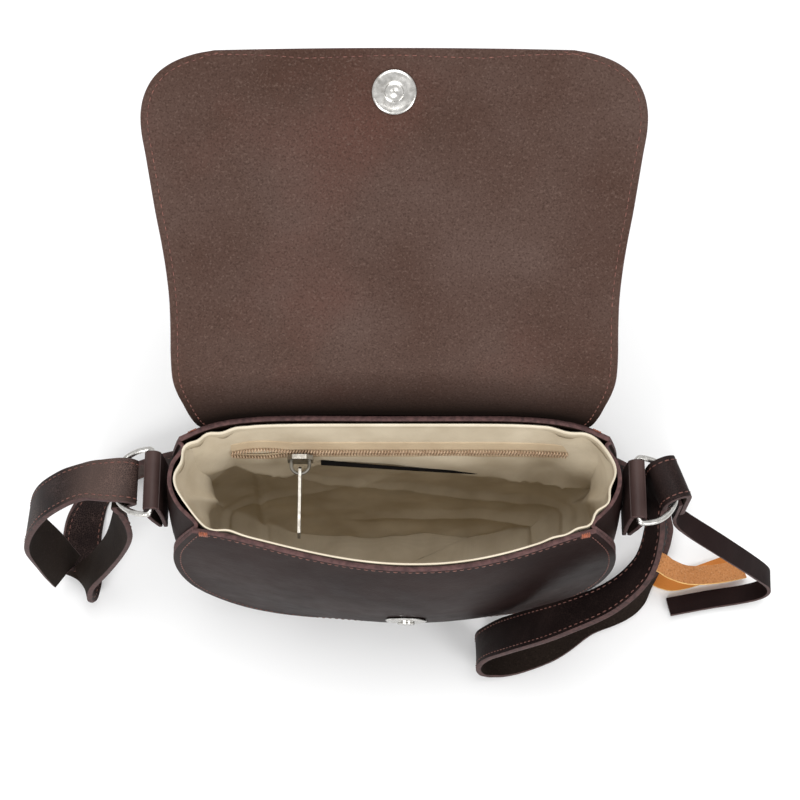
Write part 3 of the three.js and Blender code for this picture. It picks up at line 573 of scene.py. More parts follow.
class Finish:
    """A material in the making, with short ways to add nodes to it."""

    def __init__(self, name, roughness, metallic=0.0):
        self.material = bpy.data.materials.new(name)
        self.material.use_nodes = True
        self.tree = self.material.node_tree
        self.shader = self.tree.nodes["Principled BSDF"]
        self.set("Roughness", roughness)
        self.set("Metallic", metallic)
        self.place = self.tree.nodes.new("ShaderNodeTexCoord").outputs["Object"]

    def give(self, socket, value):
        """Links a socket to another node's output, or sets it to a plain value."""
        if hasattr(value, "is_linked"):
            self.tree.links.new(value, socket)
        else:
            socket.default_value = value

    def set(self, name, value):
        self.give(self.shader.inputs[name], value)

    def node(self, kind, **inputs):
        """A new node with its sockets given by name, an underscore for each space."""
        made = self.tree.nodes.new(kind)
        for name, value in inputs.items():
            self.give(made.inputs[name.replace("_", " ")], value)
        return made

    def stretched(self, scale):
        return self.node("ShaderNodeMapping", Scale=scale, Vector=self.place).outputs["Vector"]

    def noise(self, scale, detail, stretch=(1, 1, 1)):
        place = self.stretched(stretch)
        return self.node("ShaderNodeTexNoise", Scale=scale, Detail=detail, Vector=place).outputs["Fac"]

    def cells(self, scale, feature="F1", stretch=(1, 1, 1)):
        node = self.node("ShaderNodeTexVoronoi", Scale=scale, Vector=self.stretched(stretch))
        node.feature = feature
        return node.outputs["Distance"]

    def waves(self, scale, direction):
        bend = {"Distortion": 1.2, "Detail_Scale": 0.6}
        node = self.node("ShaderNodeTexWave", Scale=scale, Vector=self.place, **bend)
        node.bands_direction = direction
        return node.outputs["Fac"]

    def coordinate(self, axis):
        """The place along one axis: X to the right, Z above the floor."""
        return self.node("ShaderNodeSeparateXYZ", Vector=self.place).outputs[axis]

    def span(self, value, low, high, start=0.0, end=1.0):
        """A value from low to high carried to start to end, and held outside."""
        ends = {"From_Min": low, "From_Max": high, "To_Min": start, "To_Max": end}
        node = self.node("ShaderNodeMapRange", Value=value, **ends)
        return node.outputs["Result"]

    def combine(self, first, second, operation="MULTIPLY"):
        node = self.node("ShaderNodeMath")
        node.operation = operation
        for socket, value in zip(node.inputs, (first, second)):
            self.give(socket, value)
        return node.outputs["Value"]

    def mix(self, factor, first, second):
        """One colour where the factor is 0, and another where it is 1."""
        node = self.node("ShaderNodeMix", Factor=factor)
        node.data_type = "RGBA"
        colours = [socket for socket in node.inputs if socket.type == "RGBA"]
        for socket, value in zip(colours, (first, second)):
            self.give(socket, value)
        return next(socket for socket in node.outputs if socket.type == "RGBA")

    def bump(self, height, depth, strength, under=None):
        """Relief on the surface, over the relief of an earlier call."""
        node = self.node("ShaderNodeBump", Height=height, Distance=depth, Strength=strength)
        if under is not None:
            self.give(node.inputs["Normal"], under)
        self.set("Normal", node.outputs["Normal"])
        return node.outputs["Normal"]


def with_sheen_and_cracks(finish, base, worn, cracked):
    """A base colour with the strap's wear, fine cracks, and a painted sheen in the worn colour on its fold at
    the left.
    """
    side = finish.coordinate("X")
    # Painted sheen: the worn colour laid over the strap's fold at the left, where light catches it
    sheen_from_right = finish.span(side, *SHEEN_RIGHT, 0, 0.55)
    sheen_from_left = finish.span(side, *SHEEN_LEFT)
    base = finish.mix(finish.combine(sheen_from_right, sheen_from_left), base, worn)
    cracks = finish.span(finish.cells(900, "DISTANCE_TO_EDGE", (1, 1, 0.7)), 0.0, 0.1, 1, 0)
    patches = finish.span(finish.noise(38, 7), 0.36, 0.66, 0, 0.6)
    bent = finish.combine(patches, finish.span(side, *CRACKED_SIDE, 0.25, 1))
    return finish.mix(finish.combine(cracks, bent), base, cracked)


def grain_leather(name, dark, light, worn, roughness, cracked=None, gloss=0.2):
    """Smooth waxed leather: mottled, finely pebbled, streaked along its length, with paler wear.
    cracked is the colour of its cracks, which are most where it is bent on the left. Where cracked is given,
    the worn colour is also painted on that fold as a sheen."""
    finish = Finish(name, roughness)
    base = finish.mix(finish.span(finish.noise(22, 6), 0.35, 0.65), dark, light)
    streak = finish.span(finish.noise(60, 3, (0.12, 0.12, 1.6)), 0.55, 0.8, 0, 0.08)
    base = finish.mix(streak, base, worn)
    if cracked:
        base = with_sheen_and_cracks(finish, base, worn, cracked)
    finish.set("Base Color", base)
    finish.set("Roughness", finish.span(finish.noise(90, 5), 0.3, 0.7, roughness - 0.03, roughness + 0.05))
    finish.set("Specular IOR Level", gloss)
    under = finish.bump(finish.cells(950), 0.12 * MM, 0.35)
    under = finish.bump(finish.noise(260, 6), 0.25 * MM, 0.3, under)
    finish.bump(finish.noise(40, 3, (0.35, 0.35, 1)), 0.8 * MM, 0.04, under)
    return finish.material


def flesh_leather(name, dark, light, speck, painted_shade=None, blush=None):
    """The unfinished side of leather: dull, softly napped, with fine pale specks and dark pores.
    painted_shade is a painted shadow: a dark colour that comes in from one height down to another. blush is
    the colour of broad patches."""
    finish = Finish(name, 0.86)
    base = finish.mix(finish.span(finish.noise(16, 6), 0.3, 0.7), dark, light)
    if blush:
        base = finish.mix(finish.span(finish.noise(11, 5), 0.48, 0.68, 0, 0.6), base, blush)
    pore = (*[0.5 * value for value in dark[:3]], 1)
    base = finish.mix(finish.span(finish.noise(1100, 2), 0.34, 0.5, 0.5, 0), base, pore)
    nap = finish.span(finish.noise(900, 3), 0.55, 0.75, 0, 0.55)
    base = finish.mix(nap, base, speck)
    fleck = finish.span(finish.noise(420, 5, (0.7, 1, 1.5)), 0.62, 0.78, 0, 0.24)
    base = finish.mix(fleck, base, speck)
    # Painted shade: a dark colour laid in from one height down, standing for shadow
    if painted_shade:
        colour, low, high = painted_shade
        base = finish.mix(finish.span(finish.coordinate("Z"), low, high, 1, 0), base, colour)
    finish.set("Base Color", base)
    finish.set("Specular IOR Level", 0.08)
    under = finish.bump(finish.noise(900, 5), 0.25 * MM, 0.5)
    finish.bump(finish.noise(130, 6), 0.6 * MM, 0.3, under)
    return finish.material


def cut_edge(name, dark, light):
    """The raw fibres at a cut edge."""
    finish = Finish(name, 0.8)
    fibres = finish.span(finish.noise(420, 6, (1, 1, 2.5)), 0.35, 0.65)
    finish.set("Base Color", finish.mix(fibres, dark, light))
    finish.bump(finish.noise(800, 5), 0.3 * MM, 0.6)
    return finish.material


def cotton(name, dark, light, weave_scale, depth):
    """Plain woven cloth, with threads both ways and soft soiling."""
    finish = Finish(name, 0.9)
    base = finish.mix(finish.span(finish.noise(35, 6), 0.3, 0.7), dark, light)
    threads = finish.combine(finish.waves(weave_scale, "X"), finish.waves(weave_scale, "Z"), "MAXIMUM")
    base = finish.mix(finish.span(threads, 0.2, 0.9, 0.22, 0), base, dark)
    finish.set("Base Color", base)
    finish.set("Specular IOR Level", 0.1)
    under = finish.bump(threads, depth, 0.3)
    finish.bump(finish.noise(60, 5), 1.2 * MM, 0.35, under)
    return finish.material


def metal(name, colour, worn, roughness):
    """Plated metal, a little dull in places."""
    finish = Finish(name, roughness, 1.0)
    finish.set("Base Color", finish.mix(finish.span(finish.noise(300, 6), 0.45, 0.75), colour, worn))
    finish.set("Roughness", finish.span(finish.noise(500, 5), 0.3, 0.7, roughness - 0.06, roughness + 0.1))
    finish.bump(finish.noise(900, 4), 0.01 * MM, 0.2)
    return finish.material


def spun(name, dark, light, scale):
    """Thread and coil filament: fine twist and a soft gloss."""
    finish = Finish(name, 0.55)
    finish.set("Base Color", finish.mix(finish.span(finish.noise(scale, 3), 0.35, 0.65), dark, light))
    finish.bump(finish.noise(2600, 2), 0.08 * MM, 0.5)
    return finish.material


body_grain = grain_leather(
    "body_grain", srgb(25, 15, 14), srgb(37, 26, 24), srgb(54, 42, 39), 0.5, gloss=0.05,
)
body_flesh = flesh_leather("body_flesh", srgb(42, 29, 23), srgb(54, 40, 33), srgb(78, 61, 52))
flap_grain = grain_leather("flap_grain", srgb(28, 22, 21), srgb(40, 33, 31), srgb(60, 51, 47), 0.47)
# The flap's flesh darkens from 206 mm down to 174 mm by the rim: a painted shadow
flap_flesh = flesh_leather(
    "flap_flesh", srgb(64, 46, 39), srgb(77, 61, 55), srgb(100, 82, 74),
    painted_shade=(srgb(16, 8, 5), 174 * MM, 206 * MM), blush=srgb(82, 55, 48),
)
# Its worn colour also serves as a painted sheen on the strap's fold at the left
strap_grain = grain_leather(
    "strap_grain", srgb(18, 12, 12), srgb(32, 23, 22), srgb(92, 76, 70), 0.55,
    cracked=srgb(112, 90, 83), gloss=0.08,
)
lace_grain = grain_leather(
    "lace_grain", srgb(22, 14, 14), srgb(35, 24, 23), srgb(52, 40, 38), 0.65, gloss=0.04,
)
strap_flesh = flesh_leather("strap_flesh", srgb(27, 20, 17), srgb(37, 29, 24), srgb(54, 44, 38))
tab_grain = grain_leather(
    "tab_grain", srgb(48, 34, 32), srgb(72, 56, 53), srgb(98, 82, 78), 0.46, gloss=0.14,
)
raw_edge = cut_edge("raw_edge", srgb(54, 31, 30), srgb(86, 57, 55))
strap_edge = cut_edge("strap_edge", srgb(42, 23, 21), srgb(68, 42, 39))
tan_grain = grain_leather("tan_grain", srgb(176, 102, 38), srgb(200, 126, 56), srgb(210, 150, 94), 0.6)
tan_flesh = flesh_leather("tan_flesh", srgb(162, 104, 60), srgb(182, 126, 80), srgb(198, 154, 112))
tan_edge = cut_edge("tan_edge", srgb(186, 136, 72), srgb(224, 186, 118))
cloth = cotton("cloth", srgb(176, 162, 139), srgb(206, 194, 172), 760, 0.16 * MM)
# A paler copy of the cloth for the hem's fold: a painted highlight along the rim
hem_highlight_cloth = cotton("hem_highlight_cloth", srgb(206, 194, 172), srgb(230, 220, 200), 760, 0.16 * MM)
tape_cloth = cotton("tape_cloth", srgb(168, 148, 122), srgb(196, 178, 150), 900, 0.16 * MM)
label_cloth = cotton("label_cloth", srgb(10, 9, 9), srgb(22, 19, 19), 900, 0.15 * MM)
nickel = metal("nickel", srgb(196, 194, 190), srgb(164, 161, 156), 0.24)
zinc = metal("zinc", srgb(150, 146, 138), srgb(108, 103, 96), 0.34)
thread = spun("thread", srgb(74, 40, 33), srgb(112, 70, 59), 500)
tack_thread = spun("tack_thread", srgb(104, 52, 34), srgb(156, 84, 54), 500)
coil_thread = spun("coil_thread", srgb(164, 136, 110), srgb(198, 172, 144), 300)

# What each sheet and band is made of: its face, its back and its cut edge
BODY_FINISHES = [body_grain, body_flesh, raw_edge]
FLAP_FINISHES = [flap_flesh, flap_grain, raw_edge]
STRAP_FINISHES = [strap_grain, strap_flesh, strap_edge]
LACE_FINISHES = [lace_grain, lace_grain, strap_edge]
KEEPER_FINISHES = [tan_grain, tan_flesh, tan_edge]
TAB_FINISHES = [tab_grain, strap_flesh, strap_edge]
TAPE_FINISHES = [tape_cloth] * 3
LABEL_FINISHES = [label_cloth] * 3


# Body of the bag

def edge_lines(grid, sides, inset):
    """Lines at one inset from the named edges of a grid: top, bottom, left and right as it is stored."""
    normals = grid_normals(grid)
    turned_grid, turned_normals = grid.swapaxes(0, 1), normals.swapaxes(0, 1)
    views = {
        "left": (grid, normals),
        "right": (grid[:, ::-1], normals[:, ::-1]),
        "top": (turned_grid, turned_normals),
        "bottom": (turned_grid[:, ::-1], turned_normals[:, ::-1]),
    }
    lines = []
    for side in sides:
        path, facing = inset_line(*views[side], inset)
        trim = int(np.searchsorted(lengths(path), inset))
        keep = slice(trim, len(path) - trim)
        lines.append((path[keep], facing[keep]))
    return lines


def under_side(grid, wall):
    """The back of a sheet as a grid that faces the other way."""
    return (grid - grid_normals(grid) * wall)[:, ::-1]


def bar_tacks(name, grid):
    """A block of close stitches at both ends of a panel's rim."""
    normals = grid_normals(grid)
    lines = []
    for column in (TACK_COLUMN, grid.shape[1] - 1 - TACK_COLUMN):
        place, facing = grid[1, column], normals[1, column]
        run = unit(grid[1, column + 1] - grid[1, column - 1])
        down = unit(np.cross(facing, run))
        for step in range(TACK_COUNT):
            middle = place + run * (step - TACK_COUNT // 2) * TACK_SPACING
            path = np.array([middle - down * TACK_HALF, middle + down * TACK_HALF])
            lines.append((path, np.array([facing, facing])))
    stitches(name, lines, "leather_body", tack_thread, *TACK_STITCH)


def panels():
    """The front and back walls, sewn to the gusset. Only the front is stitched along its rim."""
    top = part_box("front_panel")[1].z
    for name, (way, steps, ripple) in PANELS.items():
        grid, wall = sheet_grid(
            f"{name}_panel",
            starts=lambda points: points[:, 2] > top - RIM_FALL,
            order=0,
            outward=lambda points: way * points[:, 1],
        )
        grid = rippled(refined_grid(grid, *steps), *ripple)
        leather_sheet(f"{name}_leather", grid, wall, BODY_FINISHES, f"{name}_panel")
        lines = edge_lines(grid, ["left", "right", "bottom"], SEAM_INSET)
        if name == "front":
            lines += edge_lines(grid, ["top"], RIM_INSET)
        stitches(f"{name}_stitches", lines, "leather_body", thread)
        bar_tacks(f"{name}_tacks", grid)


def gusset():
    """One strip down the left side, under the base and up the right, its edges turned out as lips."""
    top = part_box("gusset")[1].z
    grid, wall = sheet_grid(
        "gusset",
        starts=lambda points: (points[:, 2] > top - GUSSET_FALL) & (points[:, 0] < 0),
        order=1,
        outward=lambda points: np.hypot(points[:, 0], points[:, 2] - GUSSET_MIDDLE),
    )
    normals = grid_normals(grid)
    lip = LIP_REACH * ramp(grid[:, 0, 2:3], LIP_FULL) ** LIP_POWER
    turned_out = []
    for edge, beside in ((0, 1), (-1, -2)):
        inward = unit(grid[:, beside] - grid[:, edge])
        seam = grid[:, edge] + inward * wall
        turned_out.append((seam + normals[:, edge] * lip, seam + inward * LIP_BEND))
    (first_tip, first_bend), (last_tip, last_bend) = turned_out
    columns = [first_tip, first_bend, *grid.swapaxes(0, 1)[1:-1], last_bend, last_tip]
    grid = refined_grid(np.stack(columns, axis=1), *GUSSET_STEPS)
    leather_sheet("gusset_leather", grid, wall, BODY_FINISHES, "gusset")


def flap():
    """The flap thrown back, with its unfinished side up, stitched round on both sides."""
    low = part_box("flap")[0].z
    grid, wall = sheet_grid(
        "flap",
        starts=lambda points: points[:, 2] < low + FLAP_RISE,
        order=0,
        outward=lambda points: points[:, 2] - points[:, 1],
    )
    grid = rippled(refined_grid(grid, *FLAP_STEPS), *FLAP_RIPPLE)
    leather_sheet("flap_leather", grid, wall, FLAP_FINISHES, "flap")
    lines = edge_lines(grid, ["left", "right", "bottom"], FLAP_INSET)
    outside = under_side(grid, wall)
    lines += edge_lines(outside, ["left", "right", "bottom", "top"], FLAP_INSET)
    lines += edge_lines(outside, ["top"], FLAP_INSET + FLAP_ROW_GAP)
    stitches("flap_stitches", lines, "leather_flap", thread)


# Strap, tabs, lace and keeper

def band_lines(sections, places):
    """Stitch lines along a band's face, at shares of its half width."""
    middles, wide, thick = (refined(part, BAND_STEPS) for part in sections)
    return [(middles + wide * place + thick, unit(thick)) for place in places]


def strap():
    """One long band from ring to ring, stitched along both edges of its face."""
    sections = band_sections("strap", (1, 0, 0), BAND_ACROSS)
    band_piece("strap_leather", sections, STRAP_FINISHES, "strap", BAND_STEPS)
    lines = band_lines(sections, (-STRAP_STITCH, STRAP_STITCH))
    stitches("strap_stitches", lines, "leather_strap", thread)


def lace():
    """The narrow dark strip at the right ring."""
    sections = band_sections("lace", (0, 0, 1), BAND_ACROSS)
    band_piece("lace_leather", sections, LACE_FINISHES, "lace", LACE_STEPS)


def keeper():
    """The tan strip folded round the strap."""
    sections = band_sections("keeper", (0, 0, -1), BAND_ACROSS)
    band_piece("keeper_leather", sections, KEEPER_FINISHES, "keeper", BAND_STEPS)


def tab_path(near_x, bar_x, foot, bar_z, fold, side):
    """The line of a tab from its foot by the gusset, up over the ring's bar and down again, as (x, z)."""
    half_way = (foot + bar_z) / 2
    path = [(near_x, foot), (near_x, half_way), (bar_x - side * fold, bar_z)]
    for step in range(1, TAB_FOLD_STEPS):
        angle = math.pi * step / TAB_FOLD_STEPS
        path.append((bar_x - side * fold * math.cos(angle), bar_z + fold * math.sin(angle)))
    path.append((bar_x + side * fold, bar_z))
    path.append((bar_x + side * fold * TAB_WAIST, half_way))
    path.append((near_x + side * TAB_WALL * TAB_FOOT_GAP, foot))
    return path


def tabs():
    """A strip folded over each ring's bar, with its two legs down against the gusset."""
    for side, name in ((-1, "left"), (1, "right")):
        low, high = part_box(f"tab_{name}")
        ring_low, ring_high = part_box(f"ring_{name}")
        bar_x = ring_high.x - RING_RADIUS if side < 0 else ring_low.x + RING_RADIUS
        bar_z = ring_high.z - RING_RADIUS
        near_x = high.x - TAB_WALL / 2 if side < 0 else low.x + TAB_WALL / 2
        fold = high.z - bar_z - TAB_WALL / 2
        path = tab_path(near_x, bar_x, low.z + TAB_FOOT, bar_z, fold, side)
        middles = refined(np.array([(x, (high.y + low.y) / 2, z) for x, z in path]), BAND_STEPS)
        ahead = unit(np.gradient(middles, axis=0))
        across = np.tile((0.0, -side, 0.0), (len(middles), 1))
        sections = (middles, across * (high.y - low.y) / 2, np.cross(across, ahead) * TAB_WALL / 2)
        band_piece(f"tab_{name}_leather", sections, TAB_FINISHES, f"tab_{name}", 1)


# Lining and zip

def lining_grid():
    """The middle of the lining's wall: rows from the rim down, each a closed ring."""
    points, near = welded("lining")
    top = points[:, 2].max()
    rows = rows_from(near, np.flatnonzero(points[:, 2] > top - RIM_FALL).tolist())
    grid = []
    for row in rows[:-1]:
        ring = points[row]
        turn = np.arctan2(ring[:, 1], ring[:, 0])
        pairs = ring[np.argsort(turn)].reshape(-1, 2, 3)
        grid.append(pairs.mean(axis=1))
    return np.array(grid)


def ring_normals(rings):
    """Level directions square to each closed ring, towards its middle."""
    run = np.roll(rings, -1, axis=1) - np.roll(rings, 1, axis=1)
    inward = unit(np.stack([-run[..., 1], run[..., 0], np.zeros(run.shape[:2])], axis=-1))
    to_middle = -rings * np.array([1, 1, 0])
    return inward * np.sign((inward * to_middle).sum(axis=-1, keepdims=True))


def pocket_folds(x, z, hung_sag):
    """The zip's pocket, rolled forward above its lower edge, and the wall gone back below it."""
    edge = np.interp(x, POCKET_PLACES, POCKET_HEIGHTS)
    below_edge = ramp(edge - z, POCKET_FADE)
    above_edge = np.where(z > edge, (1 - ramp(z - edge, POCKET_ROLL)) ** 1.4, 0)
    below_zip = ramp(ZIP_FOOT - z, ZIP_FADE)
    beside_label = ramp(np.abs(x - LABEL_MIDDLE) - LABEL_REACH, LABEL_FADE)
    rolled = POCKET_BULGE * above_edge * below_zip * beside_label
    return rolled + POCKET_SLACK - SAG_SHARE * hung_sag * below_edge


def wall_creases(x, z):
    """Creases in the back wall: one below the pocket, one low at the right, one that climbs from the left
    and an upright one. Each is a depth, a distance from its line, a width and where it fades out."""
    below_pocket = np.interp(x, CREASE_PLACES, CREASE_HEIGHTS)
    low = 34 * MM - 0.1 * np.abs(x - 45 * MM)
    climbing = 70 * MM + 0.5 * (x + 50 * MM)
    upright = -73 * MM + 0.02 * (z - 90 * MM)
    folds = 3 * MM * crease(z - below_pocket, 7 * MM) * ramp(x + 60 * MM, 10 * MM)
    folds += 4 * MM * crease(z - low, 8 * MM) * ramp(x + 40 * MM, 80 * MM)
    folds += 3 * MM * crease(z - climbing, 7 * MM) * ramp(-x, 40 * MM)
    folds += 2 * MM * crease(x - upright, 3.5 * MM) * ramp(110 * MM - z, 20 * MM)
    return folds


def side_folds(x, y, z, rim):
    """The loose side walls: a broad bulge, more on the left, and one fold down each."""
    bulge = np.where(x < 0, *SIDE_BULGES) * bump_at(z, SIDE_BULGE_HEIGHT, SIDE_BULGE_WIDTH)
    line = 4 * MM - 0.3 * (z - 130 * MM)
    below_rim = ramp(rim - 10 * MM - z, 25 * MM)
    return bulge + SIDE_FOLD_DEPTH * crease(y - line, SIDE_FOLD_WIDTH) * below_rim


def crumples(rings, rim):
    """Soft crumples over all the walls, from a little below the rim down."""
    height = np.zeros(rings.shape[:2])
    for size, seed, share in CRUMPLES:
        waves = [wave(point, size, seed) for point in rings.reshape(-1, 3)]
        height += share * np.reshape(waves, height.shape)
    below_rim = ramp(rim - CRUMPLE_START - rings[..., 2], CRUMPLE_FADE)
    return CRUMPLE_DEPTH * (height + CRUMPLE_RISE) * below_rim


def ruffles(x, y, z, rim):
    """Gathers along the rim towards both ends."""
    along_rim = ramp(np.abs(x) - RUFFLE_HALF, RUFFLE_FADE) * (1 - ramp(rim - z, RUFFLE_HEIGHT))
    return RUFFLE_DEPTH * along_rim * (np.sin(x / RUFFLE_PITCH_X + y / RUFFLE_PITCH_Y) + 1)


def lining_folds(rings, rim):
    """How far the cloth stands in from the wall that it hangs on, or goes back where there is room."""
    x, y, z = rings[..., 0], rings[..., 1], rings[..., 2]
    on_back = ramp(y, BACK_FADE) * ramp(BACK_HALF - np.abs(x), SIDE_FADE)
    on_side = ramp(np.abs(x) - SIDE_HALF, SIDE_FADE)
    hung_sag = np.interp(z, SAG_HEIGHTS, SAGS)
    folds = (pocket_folds(x, z, hung_sag) + wall_creases(x, z)) * on_back
    folds += side_folds(x, y, z, rim) * on_side
    folds += crumples(rings, rim)
    room = on_back * (BACK_ROOM + SAG_SHARE * hung_sag) - WALL_CLEARANCE * (1 - on_back)
    return np.maximum(folds, -room) + ruffles(x, y, z, rim)


def lining_rings():
    """The lining's wall as fine closed rings, smooth across the place where each begins."""
    grid = lining_grid()
    lead, tail = 2, 3
    wrapped = np.concatenate([grid[:, -lead:], grid, grid[:, :tail]], axis=1)
    smooth = refined(wrapped.swapaxes(0, 1), LINING_STEPS).swapaxes(0, 1)
    start, count = lead * LINING_STEPS, grid.shape[1] * LINING_STEPS
    return refined(smooth[:, start:start + count], LINING_ROW_STEPS)


def lining_floor(lowest):
    """Rings from the wall's lowest one in towards the middle, rumpled more and more."""
    hub = lowest.mean(axis=0)
    floor = np.array([hub + (lowest - hub) * (share, share, share ** 2) for share in FLOOR_SHARES])
    rumple = np.array([1 + wave(point, RUMPLE_SIZE, 4) for point in floor.reshape(-1, 3)])
    floor[..., 2] += FLOOR_RUMPLE * rumple.reshape(floor.shape[:2]) * (1 - FLOOR_SHARES[:, None] ** 4)
    return floor


def lining():
    """A loose cotton pouch: a doubled hem at the rim, folded walls and a floor."""
    rings = lining_rings()
    inward = ring_normals(rings)
    rim = rings[..., 2].max()
    near_rim = 1 - ramp(rim - rings[..., 2:], RIM_PULL)
    outward = (RIM_OUTWARD + RIM_SIDE_OUTWARD * np.abs(inward[..., :1])) * near_rim
    lifted = np.array([0, 0, RIM_LIFT]) * near_rim
    wall = rings + inward * lining_folds(rings, rim)[..., None] - inward * outward + lifted
    hem = np.array([wall[0] + inward[0] * inset - np.array([0, 0, drop]) for drop, inset in HEM_ROWS])
    floor = lining_floor(wall[-1])
    cloth_rows = np.concatenate([hem, wall, floor])
    rows, columns = cloth_rows.shape[:2]
    points = np.concatenate([cloth_rows.reshape(-1, 3), floor[-1].mean(axis=0)[None]])
    faces = strip_faces(rows, columns, closed=True)
    end = (rows - 1) * columns
    faces += [(end + index, end + (index + 1) % columns, rows * columns) for index in range(columns)]
    # The faces over the hem's fold take the paler cloth, a painted highlight
    marks = [int(row in FOLD_ROWS) for row in range(rows) for _ in range(columns)]
    made = piece("lining_cloth", points, faces, [cloth, hem_highlight_cloth], "lining", marks, sharp=80)
    solid = made.modifiers.new("wall", "SOLIDIFY")
    solid.thickness = CLOTH_WALL
    solid.offset = 0


def zip_edges(name, side):
    """The inner and outer edge of one half's tape, from the sections of its solid."""
    inner, outer = [], []
    for row in cross_sections(name, 0):
        x, heights = row[:, 0].mean(), row[:, 2]
        low, high = heights.min(), heights.max()
        edge, far = (low, high) if side > 0 else (high, low)
        edge_face = row[np.abs(heights - edge) < TAPE_EDGE][:, 1].max()
        far_face = row[np.abs(heights - far) < TAPE_EDGE][:, 1].max()
        inner.append((x, edge_face - TAPE_TILT, edge))
        outer.append((x, far_face + TAPE_TILT, far))
    return refined(np.array(inner), TAPE_STEPS), refined(np.array(outer), TAPE_STEPS)


def zip_coil(name, side, edge):
    """A nylon coil wound along a tape's inner edge."""
    run = lengths(edge)[-1]
    turns = int(run / COIL_PITCH)
    core = along(edge, edge, np.linspace(0, run, turns * COIL_STEPS))
    angle = np.linspace(0, 2 * math.pi * turns, turns * COIL_STEPS)
    core[:, 1] -= COIL_FORWARD + COIL_HALF_DEPTH * np.sin(angle)
    core[:, 2] += side * (COIL_MIDDLE - COIL_HALF_WIDTH * np.cos(angle))
    points, faces = tube(core, COIL_WIRE, COIL_SIDES)
    piece(f"{name}_coil", points, faces, [coil_thread], sharp=80)


def zip_halves():
    """Two woven tapes, each with a coil along its inner edge."""
    for name, side in (("zip_half_upper", 1), ("zip_half_lower", -1)):
        inner, outer = zip_edges(name, side)
        thick = np.tile((0.0, -TAPE_HALF_WALL, 0.0), (len(inner), 1))
        sections = ((inner + outer) / 2, side * (outer - inner) / 2, thick)
        band_piece(f"{name}_tape", sections, TAPE_FINISHES, name, 1)
        zip_coil(name, side, inner)


def label():
    """The black edge of a bare label under the zip."""
    rows = cross_sections("label_edge", 0)
    middles = np.array([row.mean(axis=0) for row in rows])
    near, far = middles.copy(), middles.copy()
    near[:, 1] = [row[:, 1].max() for row in rows]
    far[:, 1] = [row[:, 1].min() for row in rows]
    near, far = refined(near, LABEL_STEPS), refined(far, LABEL_STEPS)
    height = (rows[0][:, 2].max() - rows[0][:, 2].min()) / 2
    sections = ((near + far) / 2, (far - near) / 2, np.tile((0.0, 0.0, height), (len(near), 1)))
    band_piece("label_strip", sections, LABEL_FINISHES, "label_edge", 1)


# Metal

def rings():
    """Round wire along each D-ring, from one side of the slit in its bar to the other."""
    for name in ("ring_left", "ring_right"):
        points, near = welded(name)
        low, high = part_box(name)
        middle_y = (low.y + high.y) / 2
        bar_x = low.x if low.x > 0 else high.x
        beside = (np.abs(points[:, 0] - bar_x) < RING_BAR_REACH) & (points[:, 1] > middle_y)
        gap = points[beside][:, 1].min()
        start = np.flatnonzero(beside & (points[:, 1] < gap + RING_SLIT_REACH)).tolist()
        rows = [points[row] for row in rows_from(near, start)]
        path = np.array([row.mean(axis=0) for row in rows])
        radius = float(np.median([np.linalg.norm(row - row.mean(axis=0), axis=1).max() for row in rows]))
        round_points, faces = tube(refined(path, RING_STEPS), radius, RING_SIDES)
        piece(f"{name}_wire", round_points, faces, [nickel], name, sharp=60)


# A snap's profile, as shares of its radius and of its height
SNAP_PROFILE = [
    (0.98, 0.0), (1.0, 0.12), (0.99, 0.3), (0.94, 0.42), (0.86, 0.45), (0.74, 0.38), (0.58, 0.3),
    (0.46, 0.3), (0.42, 0.36), (0.4, 0.55), (0.42, 0.8), (0.4, 0.95), (0.34, 1.0), (0.16, 1.0), (0.12, 0.9),
]

# Roughly the way that each snap faces
SNAP_FACINGS = {"snap_stud": (0, -1, 0.2), "snap_socket": (0, -0.5, 0.87)}


def snaps():
    """Each snap turned round its own axis, the way that its disc of points is thinnest."""
    for name, outward in SNAP_FACINGS.items():
        points, _ = welded(name)
        middle = points.mean(axis=0)
        axis = np.linalg.svd(points - middle)[2][2]
        axis = axis if axis @ np.array(outward) > 0 else -axis
        heights = (points - middle) @ axis
        radius = np.linalg.norm(points - middle - heights[:, None] * axis, axis=1).max()
        rise = heights.max() - heights.min()
        profile = [(share * radius, heights.min() + level * rise) for share, level in SNAP_PROFILE]
        round_points, faces = turned(profile, middle, axis, SNAP_SIDES)
        piece(f"{name}_metal", round_points, faces, [nickel], name, sharp=35)


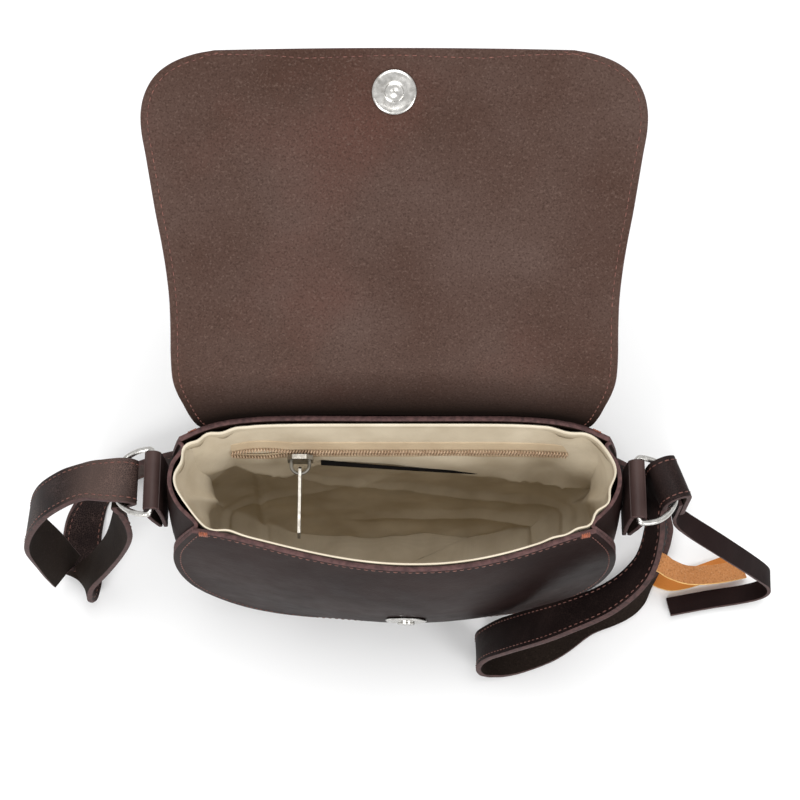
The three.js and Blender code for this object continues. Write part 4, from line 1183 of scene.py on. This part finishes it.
def zip_metal():
    """The slider and the pull keep their solids, with softened edges."""
    for name in ("zip_slider", "zip_pull"):
        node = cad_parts[name]
        node.data.materials.clear()
        node.data.materials.append(zinc)
        soft = node.modifiers.new("soft edges", "BEVEL")
        soft.width = ZIP_METAL_BEVEL
        soft.segments = 3
        soft.limit_method = "ANGLE"


# Floor, lights and camera

def stage():
    finish = Finish("floor", 0.9)
    finish.set("Base Color", finish.mix(finish.noise(6, 3), (0.86, 0.86, 0.86, 1), (0.9, 0.9, 0.9, 1)))
    mesh = bpy.data.meshes.new("floor")
    corners = [(x * STAGE_REACH, y * STAGE_REACH, 0) for x, y in ((-1, -1), (1, -1), (1, 1), (-1, 1))]
    mesh.from_pydata(corners, [], [(0, 1, 2, 3)])
    mesh.materials.append(finish.material)
    floor = bpy.data.objects.new("floor", mesh)
    bpy.context.scene.collection.objects.link(floor)


def light(name, place, size, watts):
    data = bpy.data.lights.new(name, "AREA")
    data.shape = "DISK"
    data.size = size
    data.energy = watts
    made = bpy.data.objects.new(name, data)
    made.location = place
    made.rotation_euler = (Vector(LIGHT_TARGET) - Vector(place)).to_track_quat("-Z", "Y").to_euler()
    bpy.context.scene.collection.objects.link(made)


def lights():
    for row in LIGHTS:
        light(*row)
    world = bpy.data.worlds.new("studio")
    world.use_nodes = True
    background = world.node_tree.nodes["Background"]
    background.inputs["Color"].default_value = (1, 1, 1, 1)
    background.inputs["Strength"].default_value = WORLD_STRENGTH
    bpy.context.scene.world = world
    bpy.context.scene.view_settings.view_transform = "Standard"


def camera():
    data = bpy.data.cameras.new("camera")
    data.lens = CAMERA_LENS
    data.sensor_width = CAMERA_SENSOR
    made = bpy.data.objects.new("camera", data)
    back = Vector((0, -math.cos(CAMERA_ELEVATION), math.sin(CAMERA_ELEVATION)))
    made.location = CAMERA_TARGET + back * CAMERA_DISTANCE
    made.rotation_euler = (-back).to_track_quat("-Z", "Y").to_euler()
    bpy.context.scene.collection.objects.link(made)
    bpy.context.scene.camera = made


camera()
lights()
stage()
panels()
gusset()
flap()
strap()
lace()
keeper()
tabs()
lining()
zip_halves()
label()
rings()
snaps()
zip_metal()
